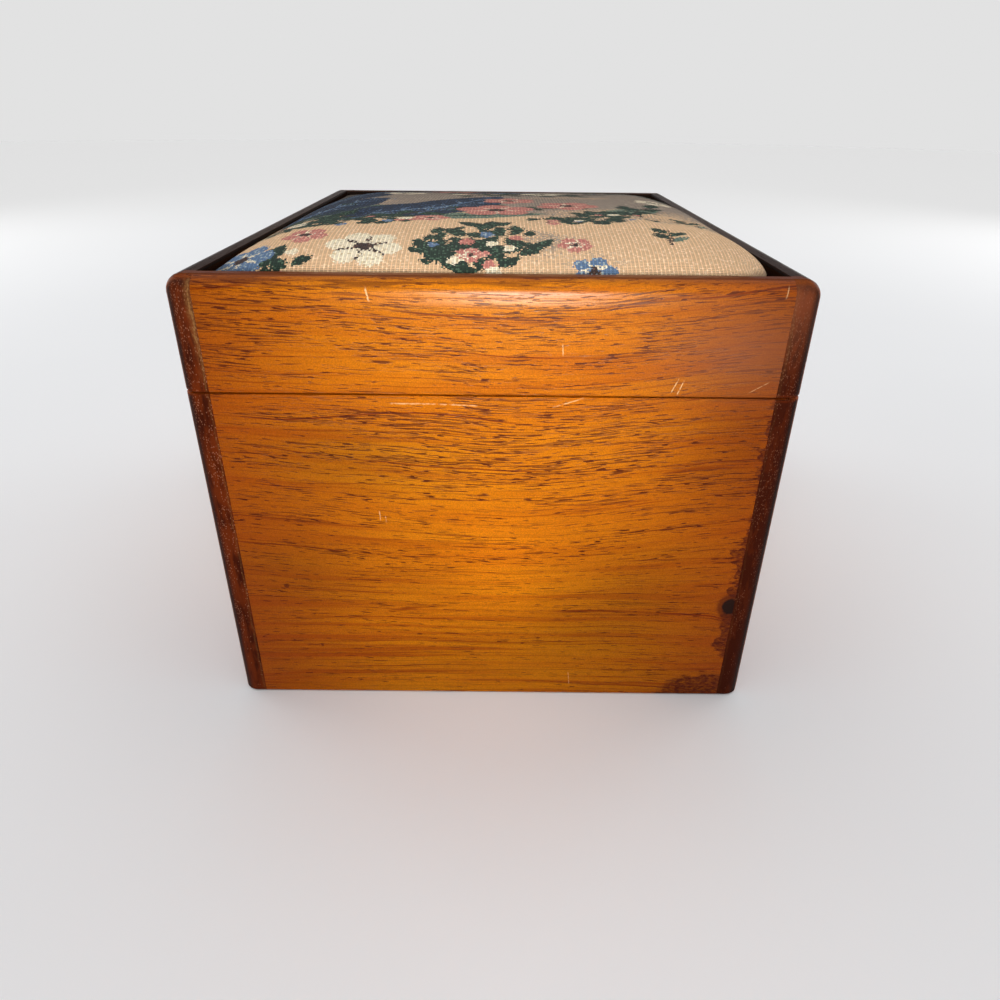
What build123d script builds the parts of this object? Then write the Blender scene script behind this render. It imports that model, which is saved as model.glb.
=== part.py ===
"""Recipe card box with a hinged, upholstered lid.

The case is made of solid wood boards, tongued and dadoed together at the corners, and the lid
is a shallow frame of the same boards. A thin panel is held in a groove of each half. A tapestry
pad is glued into the recess of the lid. Two narrow brass butt hinges are let in at the back,
where both halves are bevelled, so that the bevels meet and stop the open lid.

Frame: X to the right, Y to the back, Z up. The origin is the middle of the underside.
Lengths are in millimetres and angles in degrees.
"""

from build123d import *
import math
import os

# ---------------------------------------------------------------- case and lid frame
BOX_WIDTH = 152.0  # outside, side to side
BOX_DEPTH = 196.0  # outside, front to back
BODY_HEIGHT = 96.0  # underside to rim
LID_FRAME_HEIGHT = 27.6  # lid rails alone, without the pad's crown
LID_GAP = 0.4  # saw kerf left open between rim and lid
WALL = 7.0  # thickness of every board
CORNER_RADIUS = 4.5  # upright outside corners
TOP_RADIUS = 4.0  # outside edge round the top of the lid
SEAM_EASING = 0.3  # broken edges along the seam, inside and outside
BASE_EASING = 0.5  # outside edge round the underside
RECESS_EASING = 0.5  # edge of the lid frame round the pad

# ---------------------------------------------------------------- corner joints
TONGUE_LENGTH = 3.0  # how far a front or back board runs into the side
TONGUE_THICKNESS = 3.0
GLUE_GAP = 0.1  # room for glue at the end of a tongue

# ---------------------------------------------------------------- panels held in grooves
GROOVE_DEPTH = 3.0
PANEL_EDGE_SLACK = 0.3  # room for the panel to swell
PANEL_FACE_SLACK = 0.1
BOTTOM_PANEL_THICKNESS = 4.0
BOTTOM_PANEL_HEIGHT = 5.0  # its underside above the table
LID_PANEL_THICKNESS = 3.0
PAD_RECESS = 9.0  # top of the lid frame down to the lid panel

# ---------------------------------------------------------------- upholstered pad
FABRIC_THICKNESS = 1.0
PAD_FIT_GAP = 0.4  # pad to lid frame, all round
PAD_CORNER_RADIUS = 6.0
PAD_BOARD_THICKNESS = 4.0
FOAM_EDGE_THICKNESS = 2.6
FOAM_CROWN_RISE = 4.4  # middle of the pad above its edge
CROWN_ROLL = 16.0  # width of the rounded slope round the flat middle of the crown
TURN_UNDER = 12.0  # fabric folded in under the pad board

# ---------------------------------------------------------------- staples in the turned fabric
STAPLE_CROWN = 7.0
STAPLE_WIDTH = 0.8
STAPLE_WIRE = 0.5
STAPLE_LEG = 3.0
STAPLE_FIT = 0.05
STAPLES_ACROSS = 3  # along the front edge, and along the back edge
STAPLES_DEEP = 4  # along each side edge

# ---------------------------------------------------------------- hinges
HINGE_LENGTH = 25.0
HINGE_END_INSET = 22.0  # side of the box to the end of the hinge
OPEN_ANGLE = 95.0
BEVEL_CLEARANCE = 0.1  # left between the bevels at the open stop
LEAF_THICKNESS = 0.7
LEAF_SETBACK = 0.5  # edge of the leaf to the inside of the wall
LEAF_CORNER_RADIUS = 0.8
LEAF_FIT = 0.1  # leaf to the end of its mortise
KNUCKLES = 3
KNUCKLE_RADIUS = 1.75
KNUCKLE_GAP = 0.15  # between neighbouring knuckles
KNUCKLE_RELIEF = 0.15  # wood, or the other leaf, to a knuckle
PIN_RADIUS = 0.7
PIN_CLEARANCE = 0.03
HINGE_SCREW_END_INSET = 5.5  # end of the leaf to the screw

# ---------------------------------------------------------------- wood screws of the hinges
SCREW_SHANK_RADIUS = 0.55
SCREW_LENGTH = 7.0
SCREW_CLEARANCE = 0.05
SLOT_SHARE = 0.45  # depth of the driver slot over the height of the head
SLOT_WIDTH_SHARE = 0.28  # width of the driver slot over the radius of the head

# ---------------------------------------------------------------- places worked out from the sizes
SIDE_X = BOX_WIDTH / 2
BACK_Y = BOX_DEPTH / 2
INNER_X = SIDE_X - WALL
INNER_Y = BACK_Y - WALL
RIM_Z = BODY_HEIGHT
LID_Z = RIM_Z + LID_GAP
TOP_Z = LID_Z + LID_FRAME_HEIGHT
SEAM_Z = (RIM_Z + LID_Z) / 2
LID_PANEL_TOP_Z = TOP_Z - PAD_RECESS
LID_PANEL_Z = LID_PANEL_TOP_Z - LID_PANEL_THICKNESS
PAD_BOARD_Z = LID_PANEL_TOP_Z + FABRIC_THICKNESS
FOAM_Z = PAD_BOARD_Z + PAD_BOARD_THICKNESS
PAD_EDGE_Z = FOAM_Z + FOAM_EDGE_THICKNESS + FABRIC_THICKNESS
PAD_X = INNER_X - PAD_FIT_GAP
PAD_Y = INNER_Y - PAD_FIT_GAP
HINGE_Y = BACK_Y - KNUCKLE_RADIUS
HINGE_X = SIDE_X - HINGE_END_INSET - HINGE_LENGTH / 2
LEAF_REACH = WALL - KNUCKLE_RADIUS - LEAF_SETBACK
SCREW_HEAD_RADIUS = SCREW_SHANK_RADIUS + LEAF_THICKNESS  # sunk through the whole leaf
OVERCUT = 2.0  # how far a cutter runs past the face it cuts


def block(x_min, x_max, y_min, y_max, z_min, z_max):
    """Return a square-edged block between the given limits."""
    middle = Pos((x_min + x_max) / 2, (y_min + y_max) / 2, (z_min + z_max) / 2)
    return middle * Box(x_max - x_min, y_max - y_min, z_max - z_min)


def rod(x_min, x_max, y, z, radius):
    """Return a round rod that lies along X."""
    return Pos((x_min + x_max) / 2, y, z) * Rot(0, 90, 0) * Cylinder(radius, x_max - x_min)


# ---------------------------------------------------------------- case


def solid_half(z_min, z_max):
    """Return one half of the case as a solid block with rounded upright corners."""
    outline = RectangleRounded(BOX_WIDTH, BOX_DEPTH, CORNER_RADIUS)
    return Pos(0, 0, z_min) * extrude(outline, z_max - z_min)


def level_edges(shape, level):
    """Return the edges of a shape at its lowest (0) or highest (-1) level."""
    return shape.edges().group_by(Axis.Z)[level]


def hollowed(half, z_min, z_max):
    """Return one half of the case as a ring as thick as its boards."""
    return half - block(-INNER_X, INNER_X, -INNER_Y, INNER_Y, z_min, z_max)


def inside_edges(ring, level):
    """Return the edges round the opening of a hollow frame at its lowest or highest level."""
    reach_x = INNER_X + SEAM_EASING
    reach_y = INNER_Y + SEAM_EASING
    return [
        edge
        for edge in level_edges(ring, level)
        if abs(edge.center().X) < reach_x and abs(edge.center().Y) < reach_y
    ]


def body_frame():
    """Return the outline of the body's four boards together."""
    half = solid_half(0, RIM_Z)
    half = chamfer(level_edges(half, 0), BASE_EASING)
    half = chamfer(level_edges(half, -1), SEAM_EASING)
    ring = hollowed(half, 0, RIM_Z)
    return chamfer(inside_edges(ring, -1), SEAM_EASING)


def lid_frame():
    """Return the outline of the lid's four rails together."""
    half = solid_half(LID_Z, TOP_Z)
    half = chamfer(level_edges(half, 0), SEAM_EASING)
    half = fillet(level_edges(half, -1), TOP_RADIUS)
    ring = hollowed(half, LID_Z, TOP_Z)
    ring = chamfer(inside_edges(ring, 0), SEAM_EASING)
    return chamfer(inside_edges(ring, -1), RECESS_EASING)


def stop_bevel():
    """Return the V-shaped cutter along the back of the seam.

    Its two faces open from the hinge axis by half of the open angle each, so that the bevel of
    the lid meets the bevel of the body when the lid stands open.
    """
    half_angle = math.radians(OPEN_ANGLE / 2)
    apex_y = HINGE_Y - BEVEL_CLEARANCE / math.sin(half_angle)
    far_y = BACK_Y + OVERCUT
    rise = (far_y - apex_y) * math.tan(half_angle)
    outline = Polyline(
        (apex_y, SEAM_Z),
        (far_y, SEAM_Z + rise),
        (far_y, SEAM_Z - rise),
        close=True,
    )
    section = Plane.YZ.offset(-SIDE_X - OVERCUT) * make_face(outline)
    return extrude(section, BOX_WIDTH + 2 * OVERCUT)


def groove_cutter(z_min, thickness):
    """Return the ring that a panel's groove cuts into all four boards."""
    reach_x = INNER_X + GROOVE_DEPTH
    reach_y = INNER_Y + GROOVE_DEPTH
    return block(-reach_x, reach_x, -reach_y, reach_y, z_min, z_min + thickness + PANEL_FACE_SLACK)


def side_board(z_min, z_max, ring, cutters):
    """Return the left board of one half: full depth, with a dado near each end.

    ring is the half's outline, and each cutter is taken out of the board.
    """
    board = block(-SIDE_X, -INNER_X, -BACK_Y, BACK_Y, z_min, z_max)
    dado_x = -INNER_X - TONGUE_LENGTH - GLUE_GAP
    for inner_y, outer_y in (
        (-INNER_Y, -INNER_Y - TONGUE_THICKNESS),
        (INNER_Y, INNER_Y + TONGUE_THICKNESS),
    ):
        low, high = sorted((inner_y, outer_y))
        board -= block(dado_x, -INNER_X, low, high, z_min, z_max)
    for cutter in cutters:
        board -= cutter
    return board & ring


def end_board(z_min, z_max, ring, cutters):
    """Return the front board of one half: between the sides, with a tongue at each end.

    ring is the half's outline, and each cutter is taken out of the board.
    """
    board = block(-INNER_X, INNER_X, -BACK_Y, -INNER_Y, z_min, z_max)
    tongue_x = INNER_X + TONGUE_LENGTH
    tongue_y = -INNER_Y - TONGUE_THICKNESS
    board += block(-tongue_x, tongue_x, tongue_y, -INNER_Y, z_min, z_max)
    for cutter in cutters:
        board -= cutter
    return board & ring


def panel(z_min, thickness):
    """Return a thin panel that fills its groove on all four sides, less its slack."""
    reach_x = INNER_X + GROOVE_DEPTH - PANEL_EDGE_SLACK
    reach_y = INNER_Y + GROOVE_DEPTH - PANEL_EDGE_SLACK
    return block(-reach_x, reach_x, -reach_y, reach_y, z_min, z_min + thickness)


# ---------------------------------------------------------------- screws


def screw_blank(growth):
    """Return a countersunk screw without its slot, grown all round, pointing down."""
    head = SCREW_HEAD_RADIUS + growth
    shank = SCREW_SHANK_RADIUS + growth
    end = -SCREW_LENGTH - growth
    outline = Polyline((0, 0), (head, 0), (shank, shank - head), (shank, end), (0, end), close=True)
    return revolve(Plane.XZ * make_face(outline), Axis.Z)


def wood_screw():
    """Return a countersunk screw with a driver slot, head at the origin, pointing down."""
    slot_depth = SLOT_SHARE * (SCREW_HEAD_RADIUS - SCREW_SHANK_RADIUS)
    slot_half = SLOT_WIDTH_SHARE * SCREW_HEAD_RADIUS / 2
    head = SCREW_HEAD_RADIUS
    return screw_blank(0) - block(-head, head, -slot_half, slot_half, -slot_depth, OVERCUT)


# ---------------------------------------------------------------- hinges


def hinge_screw_places():
    """Return where the two screws of a leaf stand, from the middle of the hinge axis."""
    x = HINGE_LENGTH / 2 - HINGE_SCREW_END_INSET
    y = -(KNUCKLE_RADIUS + LEAF_REACH) / 2
    return [(-x, y), (x, y)]


def knuckle_span(index):
    """Return the X limits of one knuckle, counted from the left end of the hinge."""
    length = (HINGE_LENGTH - (KNUCKLES - 1) * KNUCKLE_GAP) / KNUCKLES
    start = -HINGE_LENGTH / 2 + index * (length + KNUCKLE_GAP)
    return start, start + length


def leaf(plate_z, first_knuckle):
    """Return one leaf of a hinge, with its axis along X through the origin.

    plate_z is the underside of its plate. Its own knuckles are every second one from
    first_knuckle on, and it is cut back round those of the other leaf.
    """
    half = HINGE_LENGTH / 2
    plate = block(-half, half, -LEAF_REACH, 0, plate_z, plate_z + LEAF_THICKNESS)
    free_corners = plate.edges().filter_by(Axis.Z).group_by(Axis.Y)[0]
    plate = fillet(free_corners, LEAF_CORNER_RADIUS)
    own = range(first_knuckle, KNUCKLES, 2)
    for index in range(KNUCKLES):
        low, high = knuckle_span(index)
        if index not in own:
            relief = KNUCKLE_RADIUS + KNUCKLE_RELIEF
            plate -= rod(low - KNUCKLE_GAP, high + KNUCKLE_GAP, 0, 0, relief)
    for index in own:
        low, high = knuckle_span(index)
        plate += rod(low, high, 0, 0, KNUCKLE_RADIUS)
    return plate - rod(-HINGE_LENGTH, HINGE_LENGTH, 0, 0, PIN_RADIUS + PIN_CLEARANCE)


def at_hinge_screws(shape, pointing_down):
    """Return copies of a downward screw or hole at both places of a leaf."""
    copies = []
    for x, y in hinge_screw_places():
        if pointing_down:
            copies.append(Pos(x, y, -LID_GAP / 2) * shape)
        else:
            copies.append(Pos(x, y, LID_GAP / 2) * Rot(180, 0, 0) * shape)
    return copies


def mortise():
    """Return the cutter that lets a shut hinge into both halves."""
    half = HINGE_LENGTH / 2 + LEAF_FIT
    depth = LID_GAP / 2 + LEAF_THICKNESS
    recess = block(-half, half, -LEAF_REACH - LEAF_FIT, 0, -depth, depth)
    return recess + rod(-half, half, 0, 0, KNUCKLE_RADIUS + KNUCKLE_RELIEF)


def hinge_places():
    """Return the name and the placing of each hinge."""
    return [
        ("left", Pos(-HINGE_X, HINGE_Y, SEAM_Z)),
        ("right", Pos(HINGE_X, HINGE_Y, SEAM_Z)),
    ]


# ---------------------------------------------------------------- upholstered pad


def crown_section(half_width, lowering):
    """Return the pad's cross-section: a flat top that rolls down to both sides.

    The first coordinate runs across the pad and the second one is height. lowering drops the
    top by the thickness of what lies on it.
    """
    edge_z = PAD_EDGE_Z - lowering
    top_z = edge_z + FOAM_CROWN_RISE
    floor_z = LID_PANEL_Z
    flat = half_width - CROWN_ROLL
    right_roll = TangentArc((flat, top_z), (half_width, edge_z), tangent=(1, 0))
    left_roll = TangentArc((-flat, top_z), (-half_width, edge_z), tangent=(-1, 0))
    sides = Polyline(
        (half_width, edge_z), (half_width, floor_z), (-half_width, floor_z), (-half_width, edge_z)
    )
    return make_face([Line((-flat, top_z), (flat, top_z)), right_roll, sides, left_roll])


def crown_block(lowering):
    """Return everything under the pad's crowned top, where its two cross-sections meet."""
    overhang = PAD_FIT_GAP  # keeps the block's own sides clear of the pad's
    across = Plane.XZ * crown_section(PAD_X + overhang, lowering)
    along = Plane.YZ * crown_section(PAD_Y + overhang, lowering)
    return extrude(across, BOX_DEPTH / 2, both=True) & extrude(along, BOX_WIDTH / 2, both=True)


def pad_plan(inset, z_min, z_max):
    """Return a plain slab with the pad's outline, drawn in by inset."""
    outline = RectangleRounded(
        2 * (PAD_X - inset), 2 * (PAD_Y - inset), PAD_CORNER_RADIUS - inset
    )
    return Pos(0, 0, z_min) * extrude(outline, z_max - z_min)


def staple_places():
    """Return (x, y, turn) of each staple, in the middle of the fabric turned under."""
    x = PAD_X - FABRIC_THICKNESS - TURN_UNDER / 2
    y = PAD_Y - FABRIC_THICKNESS - TURN_UNDER / 2
    places = []
    for index in range(STAPLES_ACROSS):
        along = x * (2 * (index + 0.5) / STAPLES_ACROSS - 1)
        places += [(along, -y, 0), (along, y, 0)]
    for index in range(STAPLES_DEEP):
        along = y * (2 * (index + 0.5) / STAPLES_DEEP - 1)
        places += [(-x, along, 90), (x, along, 90)]
    return places


def staple(growth=0.0):
    """Return one flat-wire staple: its crown at the origin's height, its legs upwards.

    growth is added all round, for the cut that the staple sits in.
    """
    half = STAPLE_CROWN / 2
    side = STAPLE_WIDTH / 2 + growth
    crown = block(-half - growth, half + growth, -side, side, -growth, STAPLE_WIRE + growth)
    leg = block(
        half - STAPLE_WIRE - growth, half + growth, -side, side, 0, STAPLE_LEG + growth
    )
    return crown + leg + mirror(leg, Plane.YZ)


def stapled(shape):
    """Return copies of a staple, or of its cut, at every place under the pad."""
    return [
        Pos(x, y, LID_PANEL_TOP_Z) * Rot(0, 0, turn) * shape for x, y, turn in staple_places()
    ]


def foam():
    """Return the crowned foam that lies on the pad board."""
    slab = pad_plan(FABRIC_THICKNESS, FOAM_Z, TOP_Z + FOAM_CROWN_RISE + OVERCUT)
    return slab & crown_block(FABRIC_THICKNESS)


def tapestry_cover(filling):
    """Return the fabric pulled over the foam and board, and turned under all round."""
    outside = pad_plan(0, LID_PANEL_TOP_Z, TOP_Z + FOAM_CROWN_RISE + OVERCUT)
    cover = outside & crown_block(0)
    for piece in filling:
        cover -= piece
    open_x = PAD_X - FABRIC_THICKNESS - TURN_UNDER
    open_y = PAD_Y - FABRIC_THICKNESS - TURN_UNDER
    return cover - block(-open_x, open_x, -open_y, open_y, LID_PANEL_TOP_Z, PAD_BOARD_Z)


# ---------------------------------------------------------------- the whole box


def build():
    """Return every piece of the box by its node name."""
    pieces = {}
    body_ring, lid_ring = body_frame(), lid_frame()
    bevel = stop_bevel()
    bottom_groove = groove_cutter(BOTTOM_PANEL_HEIGHT, BOTTOM_PANEL_THICKNESS)
    lid_groove = groove_cutter(LID_PANEL_Z, LID_PANEL_THICKNESS)
    hole = screw_blank(SCREW_CLEARANCE)
    hinge_cuts = []
    for _, place in hinge_places():
        cuts = [mortise(), *at_hinge_screws(hole, True), *at_hinge_screws(hole, False)]
        hinge_cuts += [place * cut for cut in cuts]

    body_left = side_board(0, RIM_Z, body_ring, [bottom_groove, bevel])
    body_front = end_board(0, RIM_Z, body_ring, [bottom_groove])
    body_back = mirror(body_front, Plane.XZ)
    lid_left = side_board(LID_Z, TOP_Z, lid_ring, [lid_groove, bevel])
    lid_front = end_board(LID_Z, TOP_Z, lid_ring, [lid_groove])
    lid_back = mirror(lid_front, Plane.XZ)
    for cutter in [bevel, *hinge_cuts]:
        body_back -= cutter
        lid_back -= cutter
    pieces["body_front_board"] = body_front
    pieces["body_back_board"] = body_back
    pieces["body_left_board"] = body_left
    pieces["body_right_board"] = mirror(body_left, Plane.YZ)
    pieces["bottom_panel"] = panel(BOTTOM_PANEL_HEIGHT, BOTTOM_PANEL_THICKNESS)
    pieces["lid_front_rail"] = lid_front
    pieces["lid_back_rail"] = lid_back
    pieces["lid_left_rail"] = lid_left
    pieces["lid_right_rail"] = mirror(lid_left, Plane.YZ)

    pad_board = pad_plan(FABRIC_THICKNESS, PAD_BOARD_Z, FOAM_Z)
    pad_foam = foam()
    cover = tapestry_cover([pad_board, pad_foam])
    for cut in stapled(staple(STAPLE_FIT)):
        cover -= cut
        pad_board -= cut
    pieces["lid_panel"] = panel(LID_PANEL_Z, LID_PANEL_THICKNESS)
    pieces["pad_board"] = pad_board
    pieces["pad_foam"] = pad_foam
    pieces["tapestry_cover"] = cover
    pieces["cover_staples"] = Compound(stapled(staple()))

    screw = wood_screw()
    lower = leaf(-LID_GAP / 2 - LEAF_THICKNESS, 0)
    upper = leaf(LID_GAP / 2, 1)
    for cut in at_hinge_screws(hole, True):
        lower -= cut
    for cut in at_hinge_screws(hole, False):
        upper -= cut
    pin = rod(-HINGE_LENGTH / 2, HINGE_LENGTH / 2, 0, 0, PIN_RADIUS)
    for side, place in hinge_places():
        pieces[f"{side}_hinge_body_leaf"] = place * lower
        pieces[f"{side}_hinge_lid_leaf"] = place * upper
        pieces[f"{side}_hinge_pin"] = place * pin
        body_screws = at_hinge_screws(screw, True)
        lid_screws = at_hinge_screws(screw, False)
        pieces[f"{side}_hinge_body_screws"] = Compound([place * one for one in body_screws])
        pieces[f"{side}_hinge_lid_screws"] = Compound([place * one for one in lid_screws])
    return pieces


os.makedirs("parts", exist_ok=True)
for name, piece in build().items():
    export_step(piece, f"parts/{name}.step")
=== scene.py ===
"""Dress the recipe card box and set up its studio.

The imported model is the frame: its boards, panels, hinges and screws keep their shapes and get
their finishes here. The woven cover of the lid's pad is modelled anew: a sheet of tapestry is
pulled over the crowned foam, puffed by a cloth simulation and turned under the pad board.

Lengths are in metres, and names that end in _mm hold millimetres. Inside the materials every
place is in millimetres too, because grain and weave are thought of in that unit.
"""

from __future__ import annotations

import logging
import math
import random
from dataclasses import dataclass
from enum import Enum
from functools import cache, reduce
from typing import Union

import bpy
import numpy as np
from mathutils import Matrix, Vector


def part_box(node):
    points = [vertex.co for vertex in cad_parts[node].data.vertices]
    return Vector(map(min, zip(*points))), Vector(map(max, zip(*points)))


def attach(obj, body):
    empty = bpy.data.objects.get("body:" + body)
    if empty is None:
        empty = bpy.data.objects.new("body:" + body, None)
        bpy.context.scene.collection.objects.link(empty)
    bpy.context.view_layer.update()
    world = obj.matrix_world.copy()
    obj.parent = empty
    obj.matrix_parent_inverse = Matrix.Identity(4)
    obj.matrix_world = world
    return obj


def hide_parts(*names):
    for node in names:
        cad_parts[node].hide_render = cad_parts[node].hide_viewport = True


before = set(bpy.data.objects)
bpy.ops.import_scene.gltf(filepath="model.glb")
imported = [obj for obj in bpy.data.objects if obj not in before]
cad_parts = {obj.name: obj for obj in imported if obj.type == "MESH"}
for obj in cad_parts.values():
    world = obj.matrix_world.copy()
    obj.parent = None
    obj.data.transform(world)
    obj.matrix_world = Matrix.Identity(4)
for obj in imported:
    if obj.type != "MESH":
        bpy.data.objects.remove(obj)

log = logging.getLogger("card_box")

MM = 0.001
WEAVE_MAP = "weave"  # UV map of the cover: the flat cloth's own place, in metres
TINY = 1e-9  # keeps a share of nothing from being divided by zero
MIX_SHARE, MIX_UNDER, MIX_OVER, MIX_RESULT = 0, 6, 7, 2  # a Mix node's sockets for colours


# ------------------------------------------------------------------ writing materials


def paint(red: int, green: int, blue: int) -> tuple[float, float, float, float]:
    """Return a colour that is named by its screen values as the linear one a shader needs.

    Args:
        red: Red, from 0 to 255.
        green: Green, from 0 to 255.
        blue: Blue, from 0 to 255.

    Returns:
        The linear colour with an alpha of 1.
    """

    def linear(level: int) -> float:
        """Undo the screen's tone curve for one channel."""
        share = level / 255
        return share / 12.92 if share <= 0.04045 else ((share + 0.055) / 1.055) ** 2.4

    return linear(red), linear(green), linear(blue), 1.0


def grey(level: float) -> tuple[float, float, float, float]:
    """Return a linear grey with an alpha of 1."""
    return level, level, level, 1.0


class Signal:
    """A number that varies over a surface. Arithmetic on it adds Math nodes to its recipe."""

    def __init__(self, recipe: Recipe, socket: bpy.types.NodeSocket) -> None:
        """Keep the socket that carries the number."""
        self.recipe = recipe
        self.socket = socket

    def __add__(self, other: Wire) -> Signal:
        """Return this plus another."""
        return self.recipe.math("ADD", self, other)

    def __radd__(self, other: Wire) -> Signal:
        """Return another plus this."""
        return self.recipe.math("ADD", other, self)

    def __sub__(self, other: Wire) -> Signal:
        """Return this less another."""
        return self.recipe.math("SUBTRACT", self, other)

    def __rsub__(self, other: Wire) -> Signal:
        """Return another less this."""
        return self.recipe.math("SUBTRACT", other, self)

    def __mul__(self, other: Wire) -> Signal:
        """Return this times another."""
        return self.recipe.math("MULTIPLY", self, other)

    def __rmul__(self, other: Wire) -> Signal:
        """Return another times this."""
        return self.recipe.math("MULTIPLY", other, self)

    def __truediv__(self, other: Wire) -> Signal:
        """Return this over another."""
        return self.recipe.math("DIVIDE", self, other)

    def __pow__(self, other: Wire) -> Signal:
        """Return this to a power."""
        return self.recipe.math("POWER", self, other)

    def __abs__(self) -> Signal:
        """Return the size of this, without its sign."""
        return self.recipe.math("ABSOLUTE", self)

    def least(self, other: Wire) -> Signal:
        """Return the smaller of this and another."""
        return self.recipe.math("MINIMUM", self, other)

    def most(self, other: Wire) -> Signal:
        """Return the larger of this and another."""
        return self.recipe.math("MAXIMUM", self, other)

    def fract(self) -> Signal:
        """Return what is left of this above a whole number."""
        return self.recipe.math("FRACT", self)

    def whole(self) -> Signal:
        """Return this rounded down."""
        return self.recipe.math("FLOOR", self)

    def sine(self) -> Signal:
        """Return the sine of this, in radians."""
        return self.recipe.math("SINE", self)

    def bell(self) -> Signal:
        """Return exp(-this), which is 1 at zero and dies away above it."""
        return self.recipe.math("EXPONENT", self * -1.0)

    def rise(self, low: Wire, high: Wire) -> Signal:
        """Return 0 below low and 1 above high, with a smooth step between them."""
        return self.recipe.step(self, low, high)

    def fall(self, low: Wire, high: Wire) -> Signal:
        """Return 1 below low and 0 above high, with a smooth step between them."""
        return 1.0 - self.recipe.step(self, low, high)


Wire = Union[Signal, bpy.types.NodeSocket, float, tuple]


def strongest(signals: list[Signal]) -> Signal:
    """Return the largest of several numbers."""
    return reduce(Signal.most, signals)


class Recipe:
    """Writes the node tree of one material, one node for each call."""

    def __init__(self, name: str) -> None:
        """Start an empty material.

        Args:
            name: The material's name.
        """
        self.material = bpy.data.materials.new(name)
        self.material.use_nodes = True
        self.tree = self.material.node_tree
        self.tree.nodes.clear()

    def node(self, kind: str, **settings: object) -> bpy.types.Node:
        """Add a node and set its plain properties.

        Args:
            kind: The node's type.
            **settings: Its plain properties, by name.

        Returns:
            The node.
        """
        made = self.tree.nodes.new(kind)
        for name, value in settings.items():
            setattr(made, name, value)
        return made

    def feed(self, socket: bpy.types.NodeSocket, wire: Wire) -> None:
        """Link a wire into a socket, or set the socket itself if the wire is a plain value.

        Args:
            socket: The socket to fill.
            wire: A signal, another socket or a plain value.
        """
        if isinstance(wire, Signal):
            self.tree.links.new(wire.socket, socket)
        elif isinstance(wire, bpy.types.NodeSocket):
            self.tree.links.new(wire, socket)
        else:
            socket.default_value = wire

    def math(self, operation: str, *terms: Wire) -> Signal:
        """Add a Math node.

        Args:
            operation: The Math node's operation.
            *terms: The numbers it works on, in order.

        Returns:
            The result.
        """
        made = self.node("ShaderNodeMath", operation=operation)
        for socket, term in zip(made.inputs, terms):
            self.feed(socket, term)
        return Signal(self, made.outputs[0])

    def step(self, value: Wire, low: Wire, high: Wire) -> Signal:
        """Add a smooth step from 0 at low to 1 at high.

        Args:
            value: The number to judge.
            low: Where the step starts.
            high: Where the step ends.

        Returns:
            The height of the step at that number.
        """
        made = self.node("ShaderNodeMapRange", interpolation_type="SMOOTHSTEP")
        for name, wire in (("Value", value), ("From Min", low), ("From Max", high)):
            self.feed(made.inputs[name], wire)
        return Signal(self, made.outputs["Result"])

    def point(self, x: Wire, y: Wire, z: Wire = 0.0) -> bpy.types.NodeSocket:
        """Join three numbers to a point.

        Args:
            x: The first number.
            y: The second number.
            z: The third number.

        Returns:
            The socket that carries the point.
        """
        made = self.node("ShaderNodeCombineXYZ")
        for socket, wire in zip(made.inputs, (x, y, z)):
            self.feed(socket, wire)
        return made.outputs[0]

    def split(self, point: bpy.types.NodeSocket) -> tuple[Signal, Signal, Signal]:
        """Part a point into its three numbers.

        Args:
            point: A socket that carries a point.

        Returns:
            The three numbers.
        """
        made = self.node("ShaderNodeSeparateXYZ")
        self.feed(made.inputs[0], point)
        return tuple(Signal(self, socket) for socket in made.outputs)

    def coordinates(self, kind: str) -> bpy.types.NodeSocket:
        """Return one output of a Texture Coordinate node, such as Object or Normal."""
        return self.node("ShaderNodeTexCoord").outputs[kind]

    def place_mm(self) -> tuple[Signal, Signal, Signal]:
        """Return the place on the piece, in millimetres."""
        x, y, z = self.split(self.coordinates("Object"))
        return x / MM, y / MM, z / MM

    def noise(self, at: bpy.types.NodeSocket, detail: float = 2.0, rough: float = 0.5) -> Signal:
        """Return soft noise around 0.5 that changes over one unit of the given point.

        Args:
            at: The point, in features of the noise.
            detail: How many finer layers lie on the first.
            rough: How strong each finer layer is.

        Returns:
            The noise, mostly from 0.3 to 0.7.
        """
        made = self.node("ShaderNodeTexNoise")
        self.feed(made.inputs["Vector"], at)
        for name, value in (("Scale", 1.0), ("Detail", detail), ("Roughness", rough)):
            made.inputs[name].default_value = value
        return Signal(self, made.outputs["Fac"])

    def cells(self, at: bpy.types.NodeSocket) -> tuple[Signal, Signal, Signal]:
        """Return the distance to scattered points one unit apart, and two lots for each.

        Args:
            at: The point, in cells.

        Returns:
            The distance, and two random numbers from 0 to 1 that each cell keeps.
        """
        made = self.node("ShaderNodeTexVoronoi", feature="F1")
        self.feed(made.inputs["Vector"], at)
        made.inputs["Scale"].default_value = 1.0
        lots = self.node("ShaderNodeSeparateColor")
        self.feed(lots.inputs[0], made.outputs["Color"])
        first, second = Signal(self, lots.outputs[0]), Signal(self, lots.outputs[1])
        return Signal(self, made.outputs["Distance"]), first, second

    def lot(self, x: Wire, y: Wire, z: Wire = 0.0) -> Signal:
        """Return one random number from 0 to 1 for each whole point.

        Args:
            x: The point's first number.
            y: Its second number.
            z: Its third number.

        Returns:
            The random number.
        """
        made = self.node("ShaderNodeTexWhiteNoise", noise_dimensions="3D")
        self.feed(made.inputs["Vector"], self.point(x, y, z))
        return Signal(self, made.outputs["Value"])

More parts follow.
